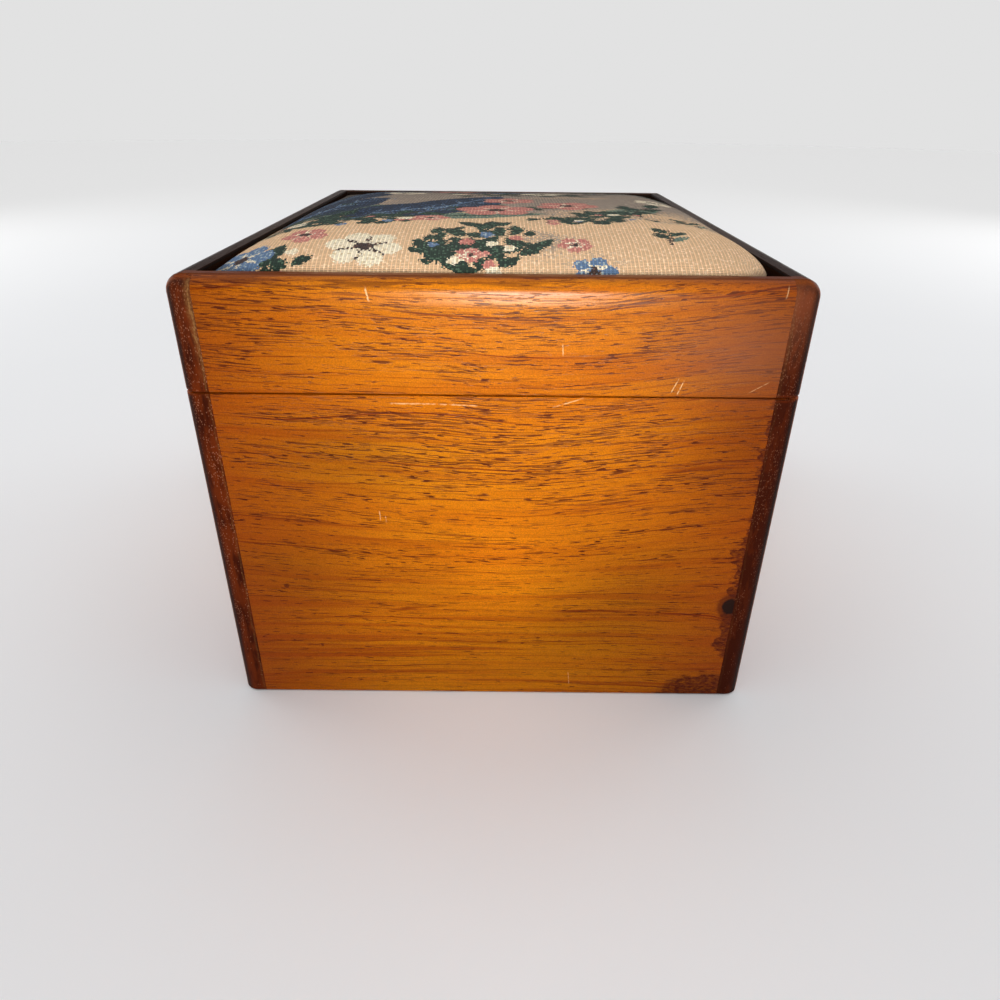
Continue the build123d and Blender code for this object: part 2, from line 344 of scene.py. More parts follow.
    def mix(self, share: Wire, under: Wire, over: Wire) -> Wire:
        """Mix two colours and return the socket of the result.

        Args:
            share: How much of the upper colour shows, from 0 to 1.
            under: The lower colour.
            over: The upper colour.

        Returns:
            The socket of the result.
        """
        made = self.node("ShaderNodeMix", data_type="RGBA", clamp_factor=True)
        for socket, wire in ((MIX_SHARE, share), (MIX_UNDER, under), (MIX_OVER, over)):
            self.feed(made.inputs[socket], wire)
        return made.outputs[MIX_RESULT]

    def shade(self, colour: Wire, level: Signal) -> Wire:
        """Return a colour made darker or lighter by a number near 1.

        Args:
            colour: The colour.
            level: What it is multiplied by.

        Returns:
            The socket of the result.
        """
        made = self.node("ShaderNodeVectorMath", operation="SCALE")
        self.feed(made.inputs[0], colour)
        self.feed(made.inputs["Scale"], level)
        return made.outputs[0]

    def bump(self, height_mm: Signal, strength: float) -> Wire:
        """Return a normal that follows a height given in millimetres.

        Args:
            height_mm: The height, in mm.
            strength: How much of the slope is kept, from 0 to 1.

        Returns:
            The socket of the normal.
        """
        made = self.node("ShaderNodeBump")
        made.inputs["Strength"].default_value = strength
        made.inputs["Distance"].default_value = MM
        self.feed(made.inputs["Height"], height_mm)
        return made.outputs["Normal"]

    def finish(self, **inputs: Wire) -> bpy.types.Material:
        """End the material with one Principled shader.

        Args:
            **inputs: Values or wires by the socket's name, with _ for each space.

        Returns:
            The finished material.
        """
        shader = self.node("ShaderNodeBsdfPrincipled")
        for name, wire in inputs.items():
            self.feed(shader.inputs[name.replace("_", " ")], wire)
        output = self.node("ShaderNodeOutputMaterial")
        self.tree.links.new(shader.outputs[0], output.inputs["Surface"])
        return self.material


def dress(node: str, material: bpy.types.Material) -> bpy.types.Object:
    """Give a CAD node its finish and return its object.

    Args:
        node: The piece's name in the frame.
        material: Its finish.

    Returns:
        The piece's object.
    """
    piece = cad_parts[node]
    for slot in piece.material_slots:
        slot.material = material
    return piece


# ------------------------------------------------------------------ wood finishes


SEAM_MM = 96.2  # height of the saw cut between the body and the lid
TOP_MM = 124.0  # height of the top of the lid's rails
SIDE_MM = 76.0  # middle of the box to the outside of its side boards
OPENING_X_MM, OPENING_Y_MM = 69.0, 91.0  # middle of the box to the inside of its boards


class Grain(Enum):
    """Which way a board's grain runs."""

    ACROSS = "left to right"
    DEEP = "front to back"


class Stain(Enum):
    """Colours of the varnished wood, of what lies on it and of its painted shade."""

    HONEY = paint(212, 126, 6)
    AMBER = paint(205, 112, 4)
    OLIVE = paint(190, 112, 2)
    DEEP = paint(170, 72, 3)
    RUSSET = paint(150, 58, 3)
    LINE = paint(126, 45, 3)
    PORE = paint(82, 25, 2)
    END = paint(112, 43, 10)
    END_DARK = paint(66, 21, 5)
    # Painted shade: the near-black of the walls round the pad and of the ends' rounded outer
    # corners.
    EDGE_SHADE = paint(10, 6, 4)
    SPECK = paint(186, 122, 92)
    GLUE = paint(150, 104, 58)
    # Painted shade and dark reflection of the upward faces, on the front and on the sides.
    FRONT_TOP_SHADE = paint(84, 32, 6)
    SIDE_TOP_SHADE = paint(26, 20, 18)
    HAZE = paint(150, 88, 60)
    SCUFF = paint(250, 200, 140)
    SEAM = paint(190, 140, 80)
    PATCH = paint(84, 27, 6)
    KNOT = paint(30, 14, 9)


@dataclass(frozen=True)
class Patch:
    """A soft oval on the front, in millimetres: a knot, a dark stain, a pale greyish patch, a band
    of pores or a patch of painted light and shade.
    """

    x: float
    z: float
    reach_x: float
    reach_z: float
    strength: float

    def cover(self, x: Signal, z: Signal) -> Signal:
        """Return how much of the patch is at a place, from 0 to its strength."""
        across, up = (x - self.x) / self.reach_x, (z - self.z) / self.reach_z
        return (across * across + up * up).bell() * self.strength


@dataclass(frozen=True)
class Scratch:
    """A straight light mark on the varnish of the front, in millimetres."""

    x: float
    z: float
    run: float
    climb: float
    width: float
    strength: float

    def cover(self, x: Signal, z: Signal) -> Signal:
        """Return how much of the scratch is at a place, from 0 to its strength.

        Args:
            x: Place across the box, in mm.
            z: Height, in mm.

        Returns:
            The share of the scratch.
        """
        length = math.hypot(self.run, self.climb)
        way_x, way_z = self.run / length, self.climb / length
        right, up = x - self.x, z - self.z
        along = right * way_x + up * way_z
        aside = abs(up * way_x - right * way_z)
        inside = along.rise(-0.3, 0.6) * along.fall(length - 0.8, length + 0.4)
        return inside * aside.fall(self.width * 0.3, self.width) * self.strength


@dataclass(frozen=True)
class VarnishedWood:
    """A board of open-pored wood under amber varnish.

    The grain is cut out of one solid block of noise, so it goes on over the edges of a board,
    and over the seam between the body and the lid, which were sawn apart.

    Attributes:
        name: The material's name.
        grain: Which way the grain runs.
        seed: Where in the block of noise the board is cut, in mm.
        tone: How much darker than its fellows the board is.
        shine: How strongly the varnish mirrors.
        sweep_mm: How far the grain dips to both sides of the front.
        film: Colour of the painted shade and dark reflection on the upward faces.
        top_shade_share: How much of that painted shade shows where it is thickest.
        end_tone: 0 for an end with dark varnish and a pale glue line, up to 1 for a dull plain one.
        pore_level: Noise above this is a pore. A higher level leaves fewer of them.
        pore_bands: Where pores crowd.
        knots: Where knots are.
        stains: Where dark stains are.
        haze: Where the front is mixed toward a pale greyish brown.
        tone_and_light_patches: Where the front is painted darker, or lighter if the strength is
            below zero: painted light and shade of the lamp's falloff, mixed with the wood's own
            tone.
        scratches: Where the varnish is scratched.
    """

    name: str
    grain: Grain
    seed: float
    tone: float = 0.0
    shine: float = 0.08
    sweep_mm: float = 0.0
    # The colour of the painted shade on the upward faces.
    film: Stain = Stain.SIDE_TOP_SHADE
    top_shade_share: float = 0.95
    end_tone: float = 0.0
    pore_level: float = 0.69
    pore_bands: tuple[Patch, ...] = ()
    knots: tuple[Patch, ...] = ()
    stains: tuple[Patch, ...] = ()
    haze: tuple[Patch, ...] = ()
    tone_and_light_patches: tuple[Patch, ...] = ()
    scratches: tuple[Scratch, ...] = ()

    def material(self) -> bpy.types.Material:
        """Write the material and return it.

        Returns:
            The finished material.
        """
        recipe = Recipe(self.name)
        x, y, z = recipe.place_mm()
        along, depth = (x, y) if self.grain is Grain.ACROSS else (y, x)
        line = self.grain_line(recipe, x, along, depth, z)
        lines, crowd = self.growth_lines(recipe, along, line, depth)
        pores = self.pores(recipe, along, line, depth, crowd, x, z)
        fibre = recipe.noise(recipe.point(along / 8.0, line / 0.22, depth / 0.22), 2.0, 0.6)
        grit = recipe.noise(recipe.point(x / 0.36, y / 0.36, z / 0.30), 1.0, 0.6)

        colour = self.ground(recipe, along, line, depth)
        colour = recipe.shade(colour, fibre * 0.40 + grit * 0.90 + 0.34)
        colour = recipe.mix(lines * 0.92, colour, Stain.LINE.value)
        colour = recipe.mix(pores * 0.92, colour, Stain.PORE.value)
        colour = self.marks(recipe, colour, x, z)
        colour, ends = self.end_grain(recipe, colour, x, y, z)
        # Painted shade and dark reflection on the upward faces.
        colour = self.painted_top_shade(recipe, colour, along, depth)
        # Painted shade on the walls round the pad.
        colour = recipe.mix(self.painted_recess_shade(x, y, z) * 0.96, colour, Stain.EDGE_SHADE.value)
        colour = self.seam_wear(recipe, colour, x, y, z)
        dimple = recipe.noise(recipe.point(x / 1.6, y / 1.6, z / 1.6), 1.0)
        height = dimple * 0.025 - pores * 0.05 + fibre * 0.010 + grit * 0.012
        worn_back = z.rise(TOP_MM - 8.6, TOP_MM - 3.6)
        height = height - worn_back * worn_back * worn_back * 0.53
        return recipe.finish(
            Base_Color=colour,
            Roughness=fibre * 0.14 + pores * 0.10 + ends * 0.12 + 0.23,
            Specular_IOR_Level=self.shine,
            Normal=recipe.bump(height, 0.5),
        )

    def at(
        self, recipe: Recipe, along: Wire, line: Wire, depth: Wire, long: float, wide: float
    ) -> Wire:
        """Return a noise point whose features are as long and wide as is said, in mm.

        Args:
            recipe: The recipe of the material.
            along: Place along the grain, in mm.
            line: Height of the grain line through the place, in mm.
            depth: Place square to the grain and to the height, in mm.
            long: Length of a feature, along the grain.
            wide: Width of a feature, square to it.

        Returns:
            The socket that carries the point.
        """
        return recipe.point((along + self.seed) / long, line / wide, depth / wide)

    def grain_line(
        self, recipe: Recipe, x: Signal, along: Signal, depth: Signal, z: Signal
    ) -> Signal:
        """Return the height at which the grain through a place would run if it were straight.

        Args:
            recipe: The recipe of the material.
            x: Place across the box, in mm.
            along: Place along the grain, in mm.
            depth: Place square to the grain and to the height, in mm.
            z: Height, in mm.

        Returns:
            The height, in mm.
        """
        wander = recipe.noise(self.at(recipe, along, z, depth, 95.0, 38.0), 2.0, 0.45) - 0.5
        line = z + wander * 6.0
        ripple = recipe.noise(self.at(recipe, along, z, depth, 15.0, 4.5), 1.0) - 0.5
        line = line + ripple * 0.8
        if self.sweep_mm:
            right = x.rise(0.0, 80.0)
            left = (12.0 - x).most(0.0) / 86.0
            lift = z.rise(16.0, 66.0) * 1.15 - 0.15
            line = line - (right * 1.2 + left * left * 0.55) * lift * self.sweep_mm
        for knot in self.knots:
            near = knot.cover(x, z) * 0.8
            line = line - (z - knot.z) * near
        return line

    def ground(self, recipe: Recipe, along: Signal, line: Signal, depth: Signal) -> Wire:
        """Return the varnished wood's colour without lines and pores.

        Args:
            recipe: The recipe of the material.
            along: Place along the grain, in mm.
            line: Height of the grain line through the place, in mm.
            depth: Place square to the grain and to the height, in mm.

        Returns:
            The colour.
        """
        broad = recipe.noise(self.at(recipe, along, line, depth, 110.0, 18.0), 2.0)
        bands = recipe.noise(self.at(recipe, along, line, depth, 70.0, 3.4), 2.0)
        colour = recipe.mix(broad.rise(0.34, 0.66), Stain.AMBER.value, Stain.HONEY.value)
        colour = recipe.mix(line.fall(14.0, 58.0) * 0.8, colour, Stain.OLIVE.value)
        colour = recipe.mix(bands.rise(0.44, 0.76) * 0.45 + self.tone, colour, Stain.DEEP.value)
        thin = recipe.noise(self.at(recipe, along, line, depth, 90.0, 2.0), 2.0, 0.55)
        low = line.fall(10.0, 62.0) * 0.55 + 0.10
        colour = recipe.mix(thin.rise(0.46, 0.66) * low, colour, Stain.RUSSET.value)
        # Darker toward the ends of the board: painted shade of the lamps' falloff, laid on as a
        # russet tone.
        return recipe.mix(abs(along).rise(14.0, 84.0) * 0.8, colour, Stain.RUSSET.value)

    def growth_lines(
        self, recipe: Recipe, along: Signal, line: Signal, depth: Signal
    ) -> tuple[Signal, Signal]:
        """Return where the thin growth lines are, and how they crowd the pores beside them.

        Args:
            recipe: The recipe of the material.
            along: Place along the grain, in mm.
            line: Height of the grain line through the place, in mm.
            depth: Place square to the grain and to the height, in mm.

        Returns:
            How strong a line is, and how strongly it draws pores, both from 0 to 1.
        """
        strokes: list[Signal] = []
        crowd: Signal | None = None
        for spacing, width, strength in ((9.4, 0.16, 1.0), (3.7, 0.12, 0.7), (1.5, 0.10, 0.4)):
            drift = recipe.noise(self.at(recipe, along, line, depth, 130.0, spacing * 2.4), 1.0)
            off = abs((line / spacing + drift * 2.4).fract() - 0.5) * spacing
            fade = recipe.noise(self.at(recipe, along, line, depth, 30.0, spacing), 2.0)
            fade = fade.rise(0.42, 0.64) * strength
            strokes.append(off.fall(width * 0.4, width * 1.6) * fade)
            crowd = crowd or off.fall(0.0, spacing * 0.22) * fade
        return strongest(strokes), crowd

    def pores(
        self,
        recipe: Recipe,
        along: Signal,
        line: Signal,
        depth: Signal,
        crowd: Signal,
        x: Signal,
        z: Signal,
    ) -> Signal:
        """Return where the short dark pore dashes are, thick in some bands and sparse elsewhere.

        Args:
            recipe: The recipe of the material.
            along: Place along the grain, in mm.
            line: Height of the grain line through the place, in mm.
            depth: Place square to the grain and to the height, in mm.
            crowd: How strongly the growth lines draw pores, from 0 to 1.
            x: Place across the box, in mm.
            z: Height, in mm.

        Returns:
            How dark a pore is, from 0 to 1.
        """
        clump = recipe.noise(self.at(recipe, along, line, depth, 24.0, 4.2), 2.0)
        share = clump.rise(0.40, 0.66) * 0.50 + crowd * 0.45
        share = share * (line.rise(8.0, 58.0) * 0.65 + 0.35)
        for band in self.pore_bands:
            share = share + band.cover(x, z) * (clump.rise(0.30, 0.56) * 0.8 + 0.2)
        slant = line + along * 0.02
        dashes: list[Signal] = []
        for long, wide, dark in ((3.8, 0.36, 1.0), (7.5, 0.32, 0.9), (18.0, 0.30, 0.7)):
            grain = recipe.noise(self.at(recipe, along, slant, depth, long, wide), 1.0, 0.45)
            edge = grain + share.least(0.75) * 0.125 - self.pore_level
            dashes.append(edge.rise(0.004, 0.036) * dark)
        return strongest(dashes)

    def marks(self, recipe: Recipe, colour: Wire, x: Signal, z: Signal) -> Wire:
        """Lay the patches of painted light and shade, and the knots, stains, haze and scratches of
        a front board over its colour.

        Args:
            recipe: The recipe of the material.
            colour: The colour so far.
            x: Place across the box, in mm.
            z: Height, in mm.

        Returns:
            The colour with its marks.
        """
        grain = recipe.noise(recipe.point(x / 1.6, z / 0.9, 0.0), 3.0, 0.65) - 0.5
        ragged = recipe.noise(recipe.point(x / 5.0, z / 3.6, 4.0), 3.0, 0.6) - 0.5
        # Painted light and shade: patches that brighten and darken the front like the near lamp's
        # falloff, mixed with the wood's own tone.
        for shade in self.tone_and_light_patches:
            colour = recipe.shade(colour, 1.0 - shade.cover(x, z))
        for stain in self.stains:
            edge = stain.cover(x + ragged * 12.0, z + ragged * 9.0).rise(0.30, 0.46)
            colour = recipe.mix(edge * (grain * 2.6 + 0.74), colour, Stain.PATCH.value)
        for knot in self.knots:
            edge = knot.cover(x + grain * 1.2, z + grain * 1.2)
            colour = recipe.mix(edge.rise(0.20, 0.45) * 0.7, colour, Stain.PATCH.value)
            colour = recipe.mix(edge.rise(0.55, 0.75) * 0.95, colour, Stain.KNOT.value)
        for haze in self.haze:
            colour = recipe.mix(haze.cover(x, z), colour, Stain.HAZE.value)
        for scratch in self.scratches:
            share = scratch.cover(x + grain * 0.5, z + grain * 0.4)
            colour = recipe.mix(share * (grain + 0.5).rise(0.3, 0.55), colour, Stain.SCUFF.value)
        return colour

    def end_grain(
        self, recipe: Recipe, colour: Wire, x: Signal, y: Signal, z: Signal
    ) -> tuple[Wire, Signal]:
        """Darken and stipple the sawn ends of the board, where the varnish sank in, and paint shade
        on their rounded outer corners.

        Args:
            recipe: The recipe of the material.
            colour: The colour so far.
            x: Place across the box, in mm.
            y: Place from front to back, in mm.
            z: Height, in mm.

        Returns:
            The colour, and where the ends are, from 0 to 1.
        """
        turned = recipe.split(recipe.coordinates("Normal"))
        facing = abs(turned[1] if self.grain is Grain.DEEP else turned[0])
        ends = facing.rise(0.40, 0.75)
        if self.grain is not Grain.DEEP:
            return colour, ends * 0.0
        blotch = recipe.noise(recipe.point(x / 2.2, y / 2.2, z / 9.0), 3.0, 0.6)
        dark = blotch.rise(0.32, 0.62) - z.fall(98.0, 120.0) * self.end_tone
        wood = recipe.mix(dark, Stain.END_DARK.value, Stain.END.value)
        speck, lot, _ = recipe.cells(recipe.point(x / 0.34, y / 0.34, z / 0.62))
        worn = recipe.noise(recipe.point(x / 3.0, 0.0, z / 16.0), 2.0) + z * 0.0018
        pale = speck.fall(0.15, 0.45) * recipe.math("LESS_THAN", lot, worn.rise(0.45, 0.75) * 0.7)
        wood = recipe.mix(pale * (0.66 - self.end_tone * 0.5), wood, Stain.SPECK.value)
        wobble = recipe.noise(recipe.point(x / 1.5, y / 1.5, z / 2.5), 2.0) - 0.5
        upper = z.rise(92.0, 118.0)
        joint = abs(abs(x) + wobble * 1.3 - (OPENING_X_MM + 0.55))
        line = joint.fall(0.10, 0.42) * (upper * 0.6 + 0.25) + joint.fall(0.4, 1.5) * upper * 0.5
        tan = line * (speck.fall(0.25, 0.75) * 0.6 + 0.4)
        wood = recipe.mix(tan * (1.0 - self.end_tone), wood, Stain.GLUE.value)
        high = z.rise(98.0, 122.0) * (self.end_tone * 0.45 + 0.06)
        wood = recipe.mix(high, wood, Stain.HAZE.value)
        # Painted shade: the rounded outer corner turns away from the lamps and is painted
        # near-black.
        rim = (abs(x) + blotch * 1.6).rise(SIDE_MM - 2.6, SIDE_MM - 0.2)
        wood = recipe.mix(rim * 0.92, wood, Stain.EDGE_SHADE.value)
        return recipe.mix(ends, colour, wood), ends

    def painted_recess_shade(self, x: Signal, y: Signal, z: Signal) -> Signal:
        """Return where the walls round the pad are, painted near-black as painted shade of the
        narrow gap beside the pad.

        Args:
            x: Place across the box, in mm.
            y: Place from front to back, in mm.
            z: Height, in mm.

        Returns:
            1 on those walls and 0 elsewhere.
        """
        inside_x = abs(x).fall(OPENING_X_MM + 0.1, OPENING_X_MM + 0.6)
        inside_y = abs(y).fall(OPENING_Y_MM + 0.1, OPENING_Y_MM + 0.6)
        return inside_x * inside_y * z.rise(TOP_MM - 10.0, TOP_MM - 8.0)

    def painted_top_shade(self, recipe: Recipe, colour: Wire, along: Signal, depth: Signal) -> Wire:
        """Paint shade on the upward faces, which face away from the lamps and mirror dim air:
        painted shade and dark reflection, laid in streaks.

        Args:
            recipe: The recipe of the material.
            colour: The colour so far.
            along: Place along the grain, in mm.
            depth: Place square to the grain and to the height, in mm.

        Returns:
            The colour with its painted shade.
        """
        z = recipe.place_mm()[2]
        streak = recipe.noise(recipe.point(along / 16.0, depth / 1.4, z / 0.9), 2.0) - 0.5
        if self.grain is Grain.DEEP:
            edge = (z + streak * 3.0).rise(TOP_MM - 2.8, TOP_MM - 1.1)
            cover = edge * (along.rise(-97.0, -91.0) * 0.6 + 0.4)
        else:
            strands = streak.rise(-0.04, 0.10) * z.rise(TOP_MM - 3.2, TOP_MM - 1.4)
            strands = strands * along.fall(-20.0, 60.0)
            flat = (z + streak * 0.3).rise(TOP_MM - 0.50, TOP_MM - 0.08)
            dull = z.rise(TOP_MM - 1.8, TOP_MM - 0.3)
            cover = strongest([flat * 0.92, strands * 0.72, dull * 0.42])
        up = recipe.split(recipe.coordinates("Normal"))[2].rise(0.10, 0.60)
        return recipe.mix(cover * up * self.top_shade_share, colour, self.film.value)

    def seam_wear(self, recipe: Recipe, colour: Wire, x: Signal, y: Signal, z: Signal) -> Wire:
        """Rub the edges of the seam pale, where the lid and the body knock together.

        Args:
            recipe: The recipe of the material.
            colour: The colour so far.
            x: Place across the box, in mm.
            y: Place from front to back, in mm.
            z: Height, in mm.

        Returns:
            The colour with its worn seam.
        """
        patchy = recipe.noise(recipe.point(x / 5.0, y / 5.0, z / 3.0), 3.0, 0.7)
        off = abs(z - SEAM_MM)
        upright = abs(recipe.split(recipe.coordinates("Normal"))[2]).fall(0.3, 0.7)
        dirt = off.fall(0.35, 1.3) * patchy.rise(0.35, 0.65) * upright
        colour = recipe.mix(dirt * 0.55, colour, Stain.LINE.value)
        if self.grain is Grain.DEEP:
            return colour
        pale = off.fall(0.45, 0.75) * patchy.rise(0.48, 0.62) * upright
        return recipe.mix(pale * 0.40, colour, Stain.SEAM.value)


class Ply(Enum):
    """Colours of the thin panels."""

    FACE = paint(206, 168, 118)
    FIGURE = paint(168, 124, 78)
    BOARD = paint(112, 78, 50)
    BOARD_LIGHT = paint(146, 108, 72)


@dataclass(frozen=True)
class Plywood:
    """A thin panel with a pale rotary-cut face veneer."""

    name: str
    figure_mm: float = 9.0
    ply_mm: float = 1.0

    def material(self) -> bpy.types.Material:
        """Write the material and return it.

        Returns:
            The finished material.
        """
        recipe = Recipe(self.name)
        x, y, z = recipe.place_mm()
        sway = recipe.noise(recipe.point(x / 40.0, y / 90.0, z), 2.0) * 26.0
        figure = (x / self.figure_mm + sway / 7.0).fract()
        line = figure.rise(0.55, 0.95) * figure.fall(0.96, 1.0)
        fibre = recipe.noise(recipe.point(x / 0.5, y / 14.0, z / 0.5), 3.0)
        plies = recipe.math("GREATER_THAN", (z / self.ply_mm).fract(), 0.5)
        side = 1.0 - abs(recipe.split(recipe.coordinates("Normal"))[2]).rise(0.4, 0.6)
        colour = recipe.mix(line * 0.55, Ply.FACE.value, Ply.FIGURE.value)
        colour = recipe.mix(side * plies * 0.6, colour, Ply.FIGURE.value)
        colour = recipe.shade(colour, fibre * 0.4 + 0.8)
        return recipe.finish(
            Base_Color=colour,
            Roughness=fibre * 0.15 + 0.55,
            Normal=recipe.bump(fibre * 0.05, 0.4),
        )


@dataclass(frozen=True)
class Hardboard:
    """The pressed fibre board inside the pad."""

    name: str

    def material(self) -> bpy.types.Material:
        """Write the material and return it.

        Returns:
            The finished material.
        """
        recipe = Recipe(self.name)
        x, y, z = recipe.place_mm()
        fibres = recipe.noise(recipe.point(x / 1.2, y / 0.5, z / 0.5), 4.0, 0.65)
        mesh = (x * math.pi).sine() * (y * math.pi).sine()
        colour = recipe.mix(fibres.rise(0.35, 0.7), Ply.BOARD.value, Ply.BOARD_LIGHT.value)
        return recipe.finish(
            Base_Color=colour,
            Roughness=fibres * 0.2 + 0.6,
            Normal=recipe.bump(mesh * 0.04 + fibres * 0.05, 0.5),
        )


# ------------------------------------------------------------------ other finishes


@dataclass(frozen=True)
class OpenFoam:
    """Soft foam with small open cells."""

    name: str
    colour: tuple[float, float, float, float] = paint(232, 220, 184)
    shaded_hollow: tuple[float, float, float, float] = paint(176, 158, 116)

    def material(self) -> bpy.types.Material:
        """Write the material and return it.

        Returns:
            The finished material.
        """
        recipe = Recipe(self.name)
        x, y, z = recipe.place_mm()
        near, _, _ = recipe.cells(recipe.point(x / 0.8, y / 0.8, z / 0.8))
        wall = near.rise(0.2, 0.55)
        return recipe.finish(
            # The cells' hollows are painted darker: painted shade.
            Base_Color=recipe.mix(wall, self.shaded_hollow, self.colour),
            Roughness=wall * 0.1 + 0.85,
            Normal=recipe.bump(wall * 0.2, 0.6),
        )


class Metal(Enum):
    """Bright and dull colours of each metal."""

    BRASS = paint(206, 168, 92)
    BRASS_DULL = paint(122, 88, 44)
    STEEL = paint(190, 190, 192)
    STEEL_DULL = paint(128, 124, 118)


@dataclass(frozen=True)
class WornMetal:
    """Metal with brushed lines along X and dull spots."""

    name: str
    bright: Metal
    dull: Metal
    rough: float

    def material(self) -> bpy.types.Material:
        """Write the material and return it.

        Returns:
            The finished material.
        """
        recipe = Recipe(self.name)
        x, y, z = recipe.place_mm()
        brushed = recipe.noise(recipe.point(x / 3.0, y / 0.12, z / 0.12), 2.0)
        cloudy = recipe.noise(recipe.point(x / 3.2, y / 3.2, z / 3.2), 4.0, 0.6)
        spots = recipe.noise(recipe.point(x / 0.7, y / 0.7, z / 0.7), 2.0).rise(0.62, 0.72)
        tarnish = cloudy.rise(0.42, 0.68) * 0.55 + spots * 0.35
        return recipe.finish(
            Base_Color=recipe.mix(tarnish, self.bright.value, self.dull.value),
            Metallic=1.0,
            Roughness=brushed * 0.16 + tarnish * 0.25 + self.rough,
            Normal=recipe.bump(brushed * 0.01, 0.4),
        )


# ------------------------------------------------------------------ tapestry weave


class Thread(Enum):
    """The pairs of yarns that the tapestry mixes: its main colour and the one flecked into it."""

    GROUND = (paint(212, 174, 134), paint(230, 196, 158))
    # Grey yarn that also stands in for painted shade toward the back of the pad.
    GREY_AND_SHADE = (paint(142, 126, 112), paint(172, 156, 138))
    NAVY = (paint(22, 34, 54), paint(50, 72, 102))
    SAGE = (paint(92, 112, 98), paint(158, 156, 122))
    LEAF = (paint(20, 42, 32), paint(66, 92, 72))
    STEM = (paint(52, 36, 30), paint(92, 70, 56))
    ROSE = (paint(184, 112, 100), paint(214, 156, 138))
    CREAM = (paint(232, 218, 190), paint(206, 186, 150))
    SKY = (paint(84, 110, 142), paint(150, 164, 170))
    EYE = (paint(50, 34, 32), paint(92, 62, 50))


@dataclass(frozen=True)
class TapestryCloth:
    """A cotton tapestry: tight stitches in two yarns a colour, laid out by the motif fields."""

    name: str
    stitch_mm: float = 0.5
    row_mm: float = 0.57
    ragged_mm: float = 1.0

    def material(self, layers: list[Thread]) -> bpy.types.Material:
        """Write the material.

        Args:
            layers: The threads that have a motif field on the mesh, lowest first.

        Returns:
            The finished material.
        """
        recipe = Recipe(self.name)
        chart = recipe.node("ShaderNodeUVMap", uv_map=WEAVE_MAP).outputs[0]
        u, v, _ = recipe.split(chart)
        lean = recipe.noise(recipe.point(u / 0.014, v / 0.014), 1.0) - 0.5
        column = u / (self.stitch_mm * MM) + lean * 0.8
        row = v / (self.row_mm * MM) + lean * 0.6
        lot = recipe.lot(column.whole(), row.whole())
        other = recipe.lot(column.whole(), row.whole(), 7.0)

        colour = self.yarn(recipe, Thread.GROUND, other)
        # The grey yarn spreads toward the back: partly the design's grey ground, partly painted
        # shade of the dimmer back.
        cloud = recipe.noise(recipe.point(u / 0.060, v / 0.040), 3.0) + (lot - 0.5) * 0.16
        cloud = cloud + v * 3.2
        colour = recipe.mix(cloud.rise(0.30, 0.42), colour, self.yarn(recipe, Thread.GREY_AND_SHADE, other))
        for thread in layers:
            field = recipe.node("ShaderNodeAttribute", attribute_name=field_name(thread))
            reach = Signal(recipe, field.outputs["Fac"]) + (lot - 0.5) * self.ragged_mm
            over = self.yarn(recipe, thread, other)
            colour = recipe.mix(reach.rise(-0.1, 0.1), colour, over)

        # Painted light and shade of the weave's relief: crests and ribs are lighter, the gaps
        # between rows darker.
        side, up = column.fract() * math.pi, row.fract() * math.pi
        crest, swell = side.sine(), up.sine()
        rib = recipe.math("MODULO", column.whole() + 400.0, 2.0) * crest.rise(0.2, 0.8)
        gap = swell.fall(0.08, 0.74) * (1.0 - rib * 0.50)
        level = rib * 0.22 - gap * 0.62 - crest.fall(0.0, 0.5) * 0.12 + (lot - 0.5) * 0.10 + 1.12
        # Painted shade: the back of the pad is darkened.
        level = level * (1.0 - v.rise(-0.075, 0.070) * 0.38) * (1.0 - v.rise(0.0, 0.085) * 0.24)
        # Painted shade: the cloth is darkened where it goes down into the gap beside the rails.
        low = recipe.place_mm()[2].fall(TOP_MM - 1.0, TOP_MM + 0.6)
        level = level * (1.0 - low * 0.6)
        return recipe.finish(
            Base_Color=recipe.shade(colour, level),
            Roughness=0.92,
            Specular_IOR_Level=0.12,
            Sheen_Weight=0.06,
            Sheen_Roughness=0.6,
            Normal=recipe.bump(crest * swell * 0.12 + rib * 0.06, 0.7),
        )

    def yarn(self, recipe: Recipe, thread: Thread, lot: Signal) -> Wire:
        """Return a thread's main colour, flecked with its second one."""
        main, fleck = thread.value
        return recipe.mix(lot.rise(0.78, 0.88), main, fleck)


def field_name(thread: Thread) -> str:
    """Return the name of the mesh attribute that lays out a thread."""
    return "field_" + thread.name.lower()


# ------------------------------------------------------------------ motifs of the tapestry

FAR_MM = 4.0  # motif fields are cut off this far outside a motif


def away_from(
    x: float, y: float, way: float, reach_x: float, reach_y: float
) -> tuple[float, float]:
    """Return the place on an oval round another place, in a way given in degrees.

    Args:
        x: The place's first number.
        y: Its second number.
        way: The way, in degrees.
        reach_x: Half the oval's width.
        reach_y: Half the oval's height.

    Returns:
        The place on the oval.
    """
    return x + reach_x * math.cos(math.radians(way)), y + reach_y * math.sin(math.radians(way))


def turned(motif: Motif, u: np.ndarray, v: np.ndarray) -> tuple[np.ndarray, np.ndarray]:
    """Return how far along a motif's way, and aside of it, each place lies.

    Args:
        motif: The motif, with its root and its turn.
        u: Places across the cloth, in mm.
        v: Places up the cloth, in mm.

    Returns:
        The distances along and aside, in mm.
    """
    c, s = math.cos(math.radians(motif.turn)), math.sin(math.radians(motif.turn))
    along = (u - motif.x) * c + (v - motif.y) * s
    return along, (v - motif.y) * c - (u - motif.x) * s


def past_ends(along: np.ndarray, length: float) -> np.ndarray:
    """Return how far places lie past either end of a length."""
    return np.maximum(np.maximum(-along, along - length), 0)


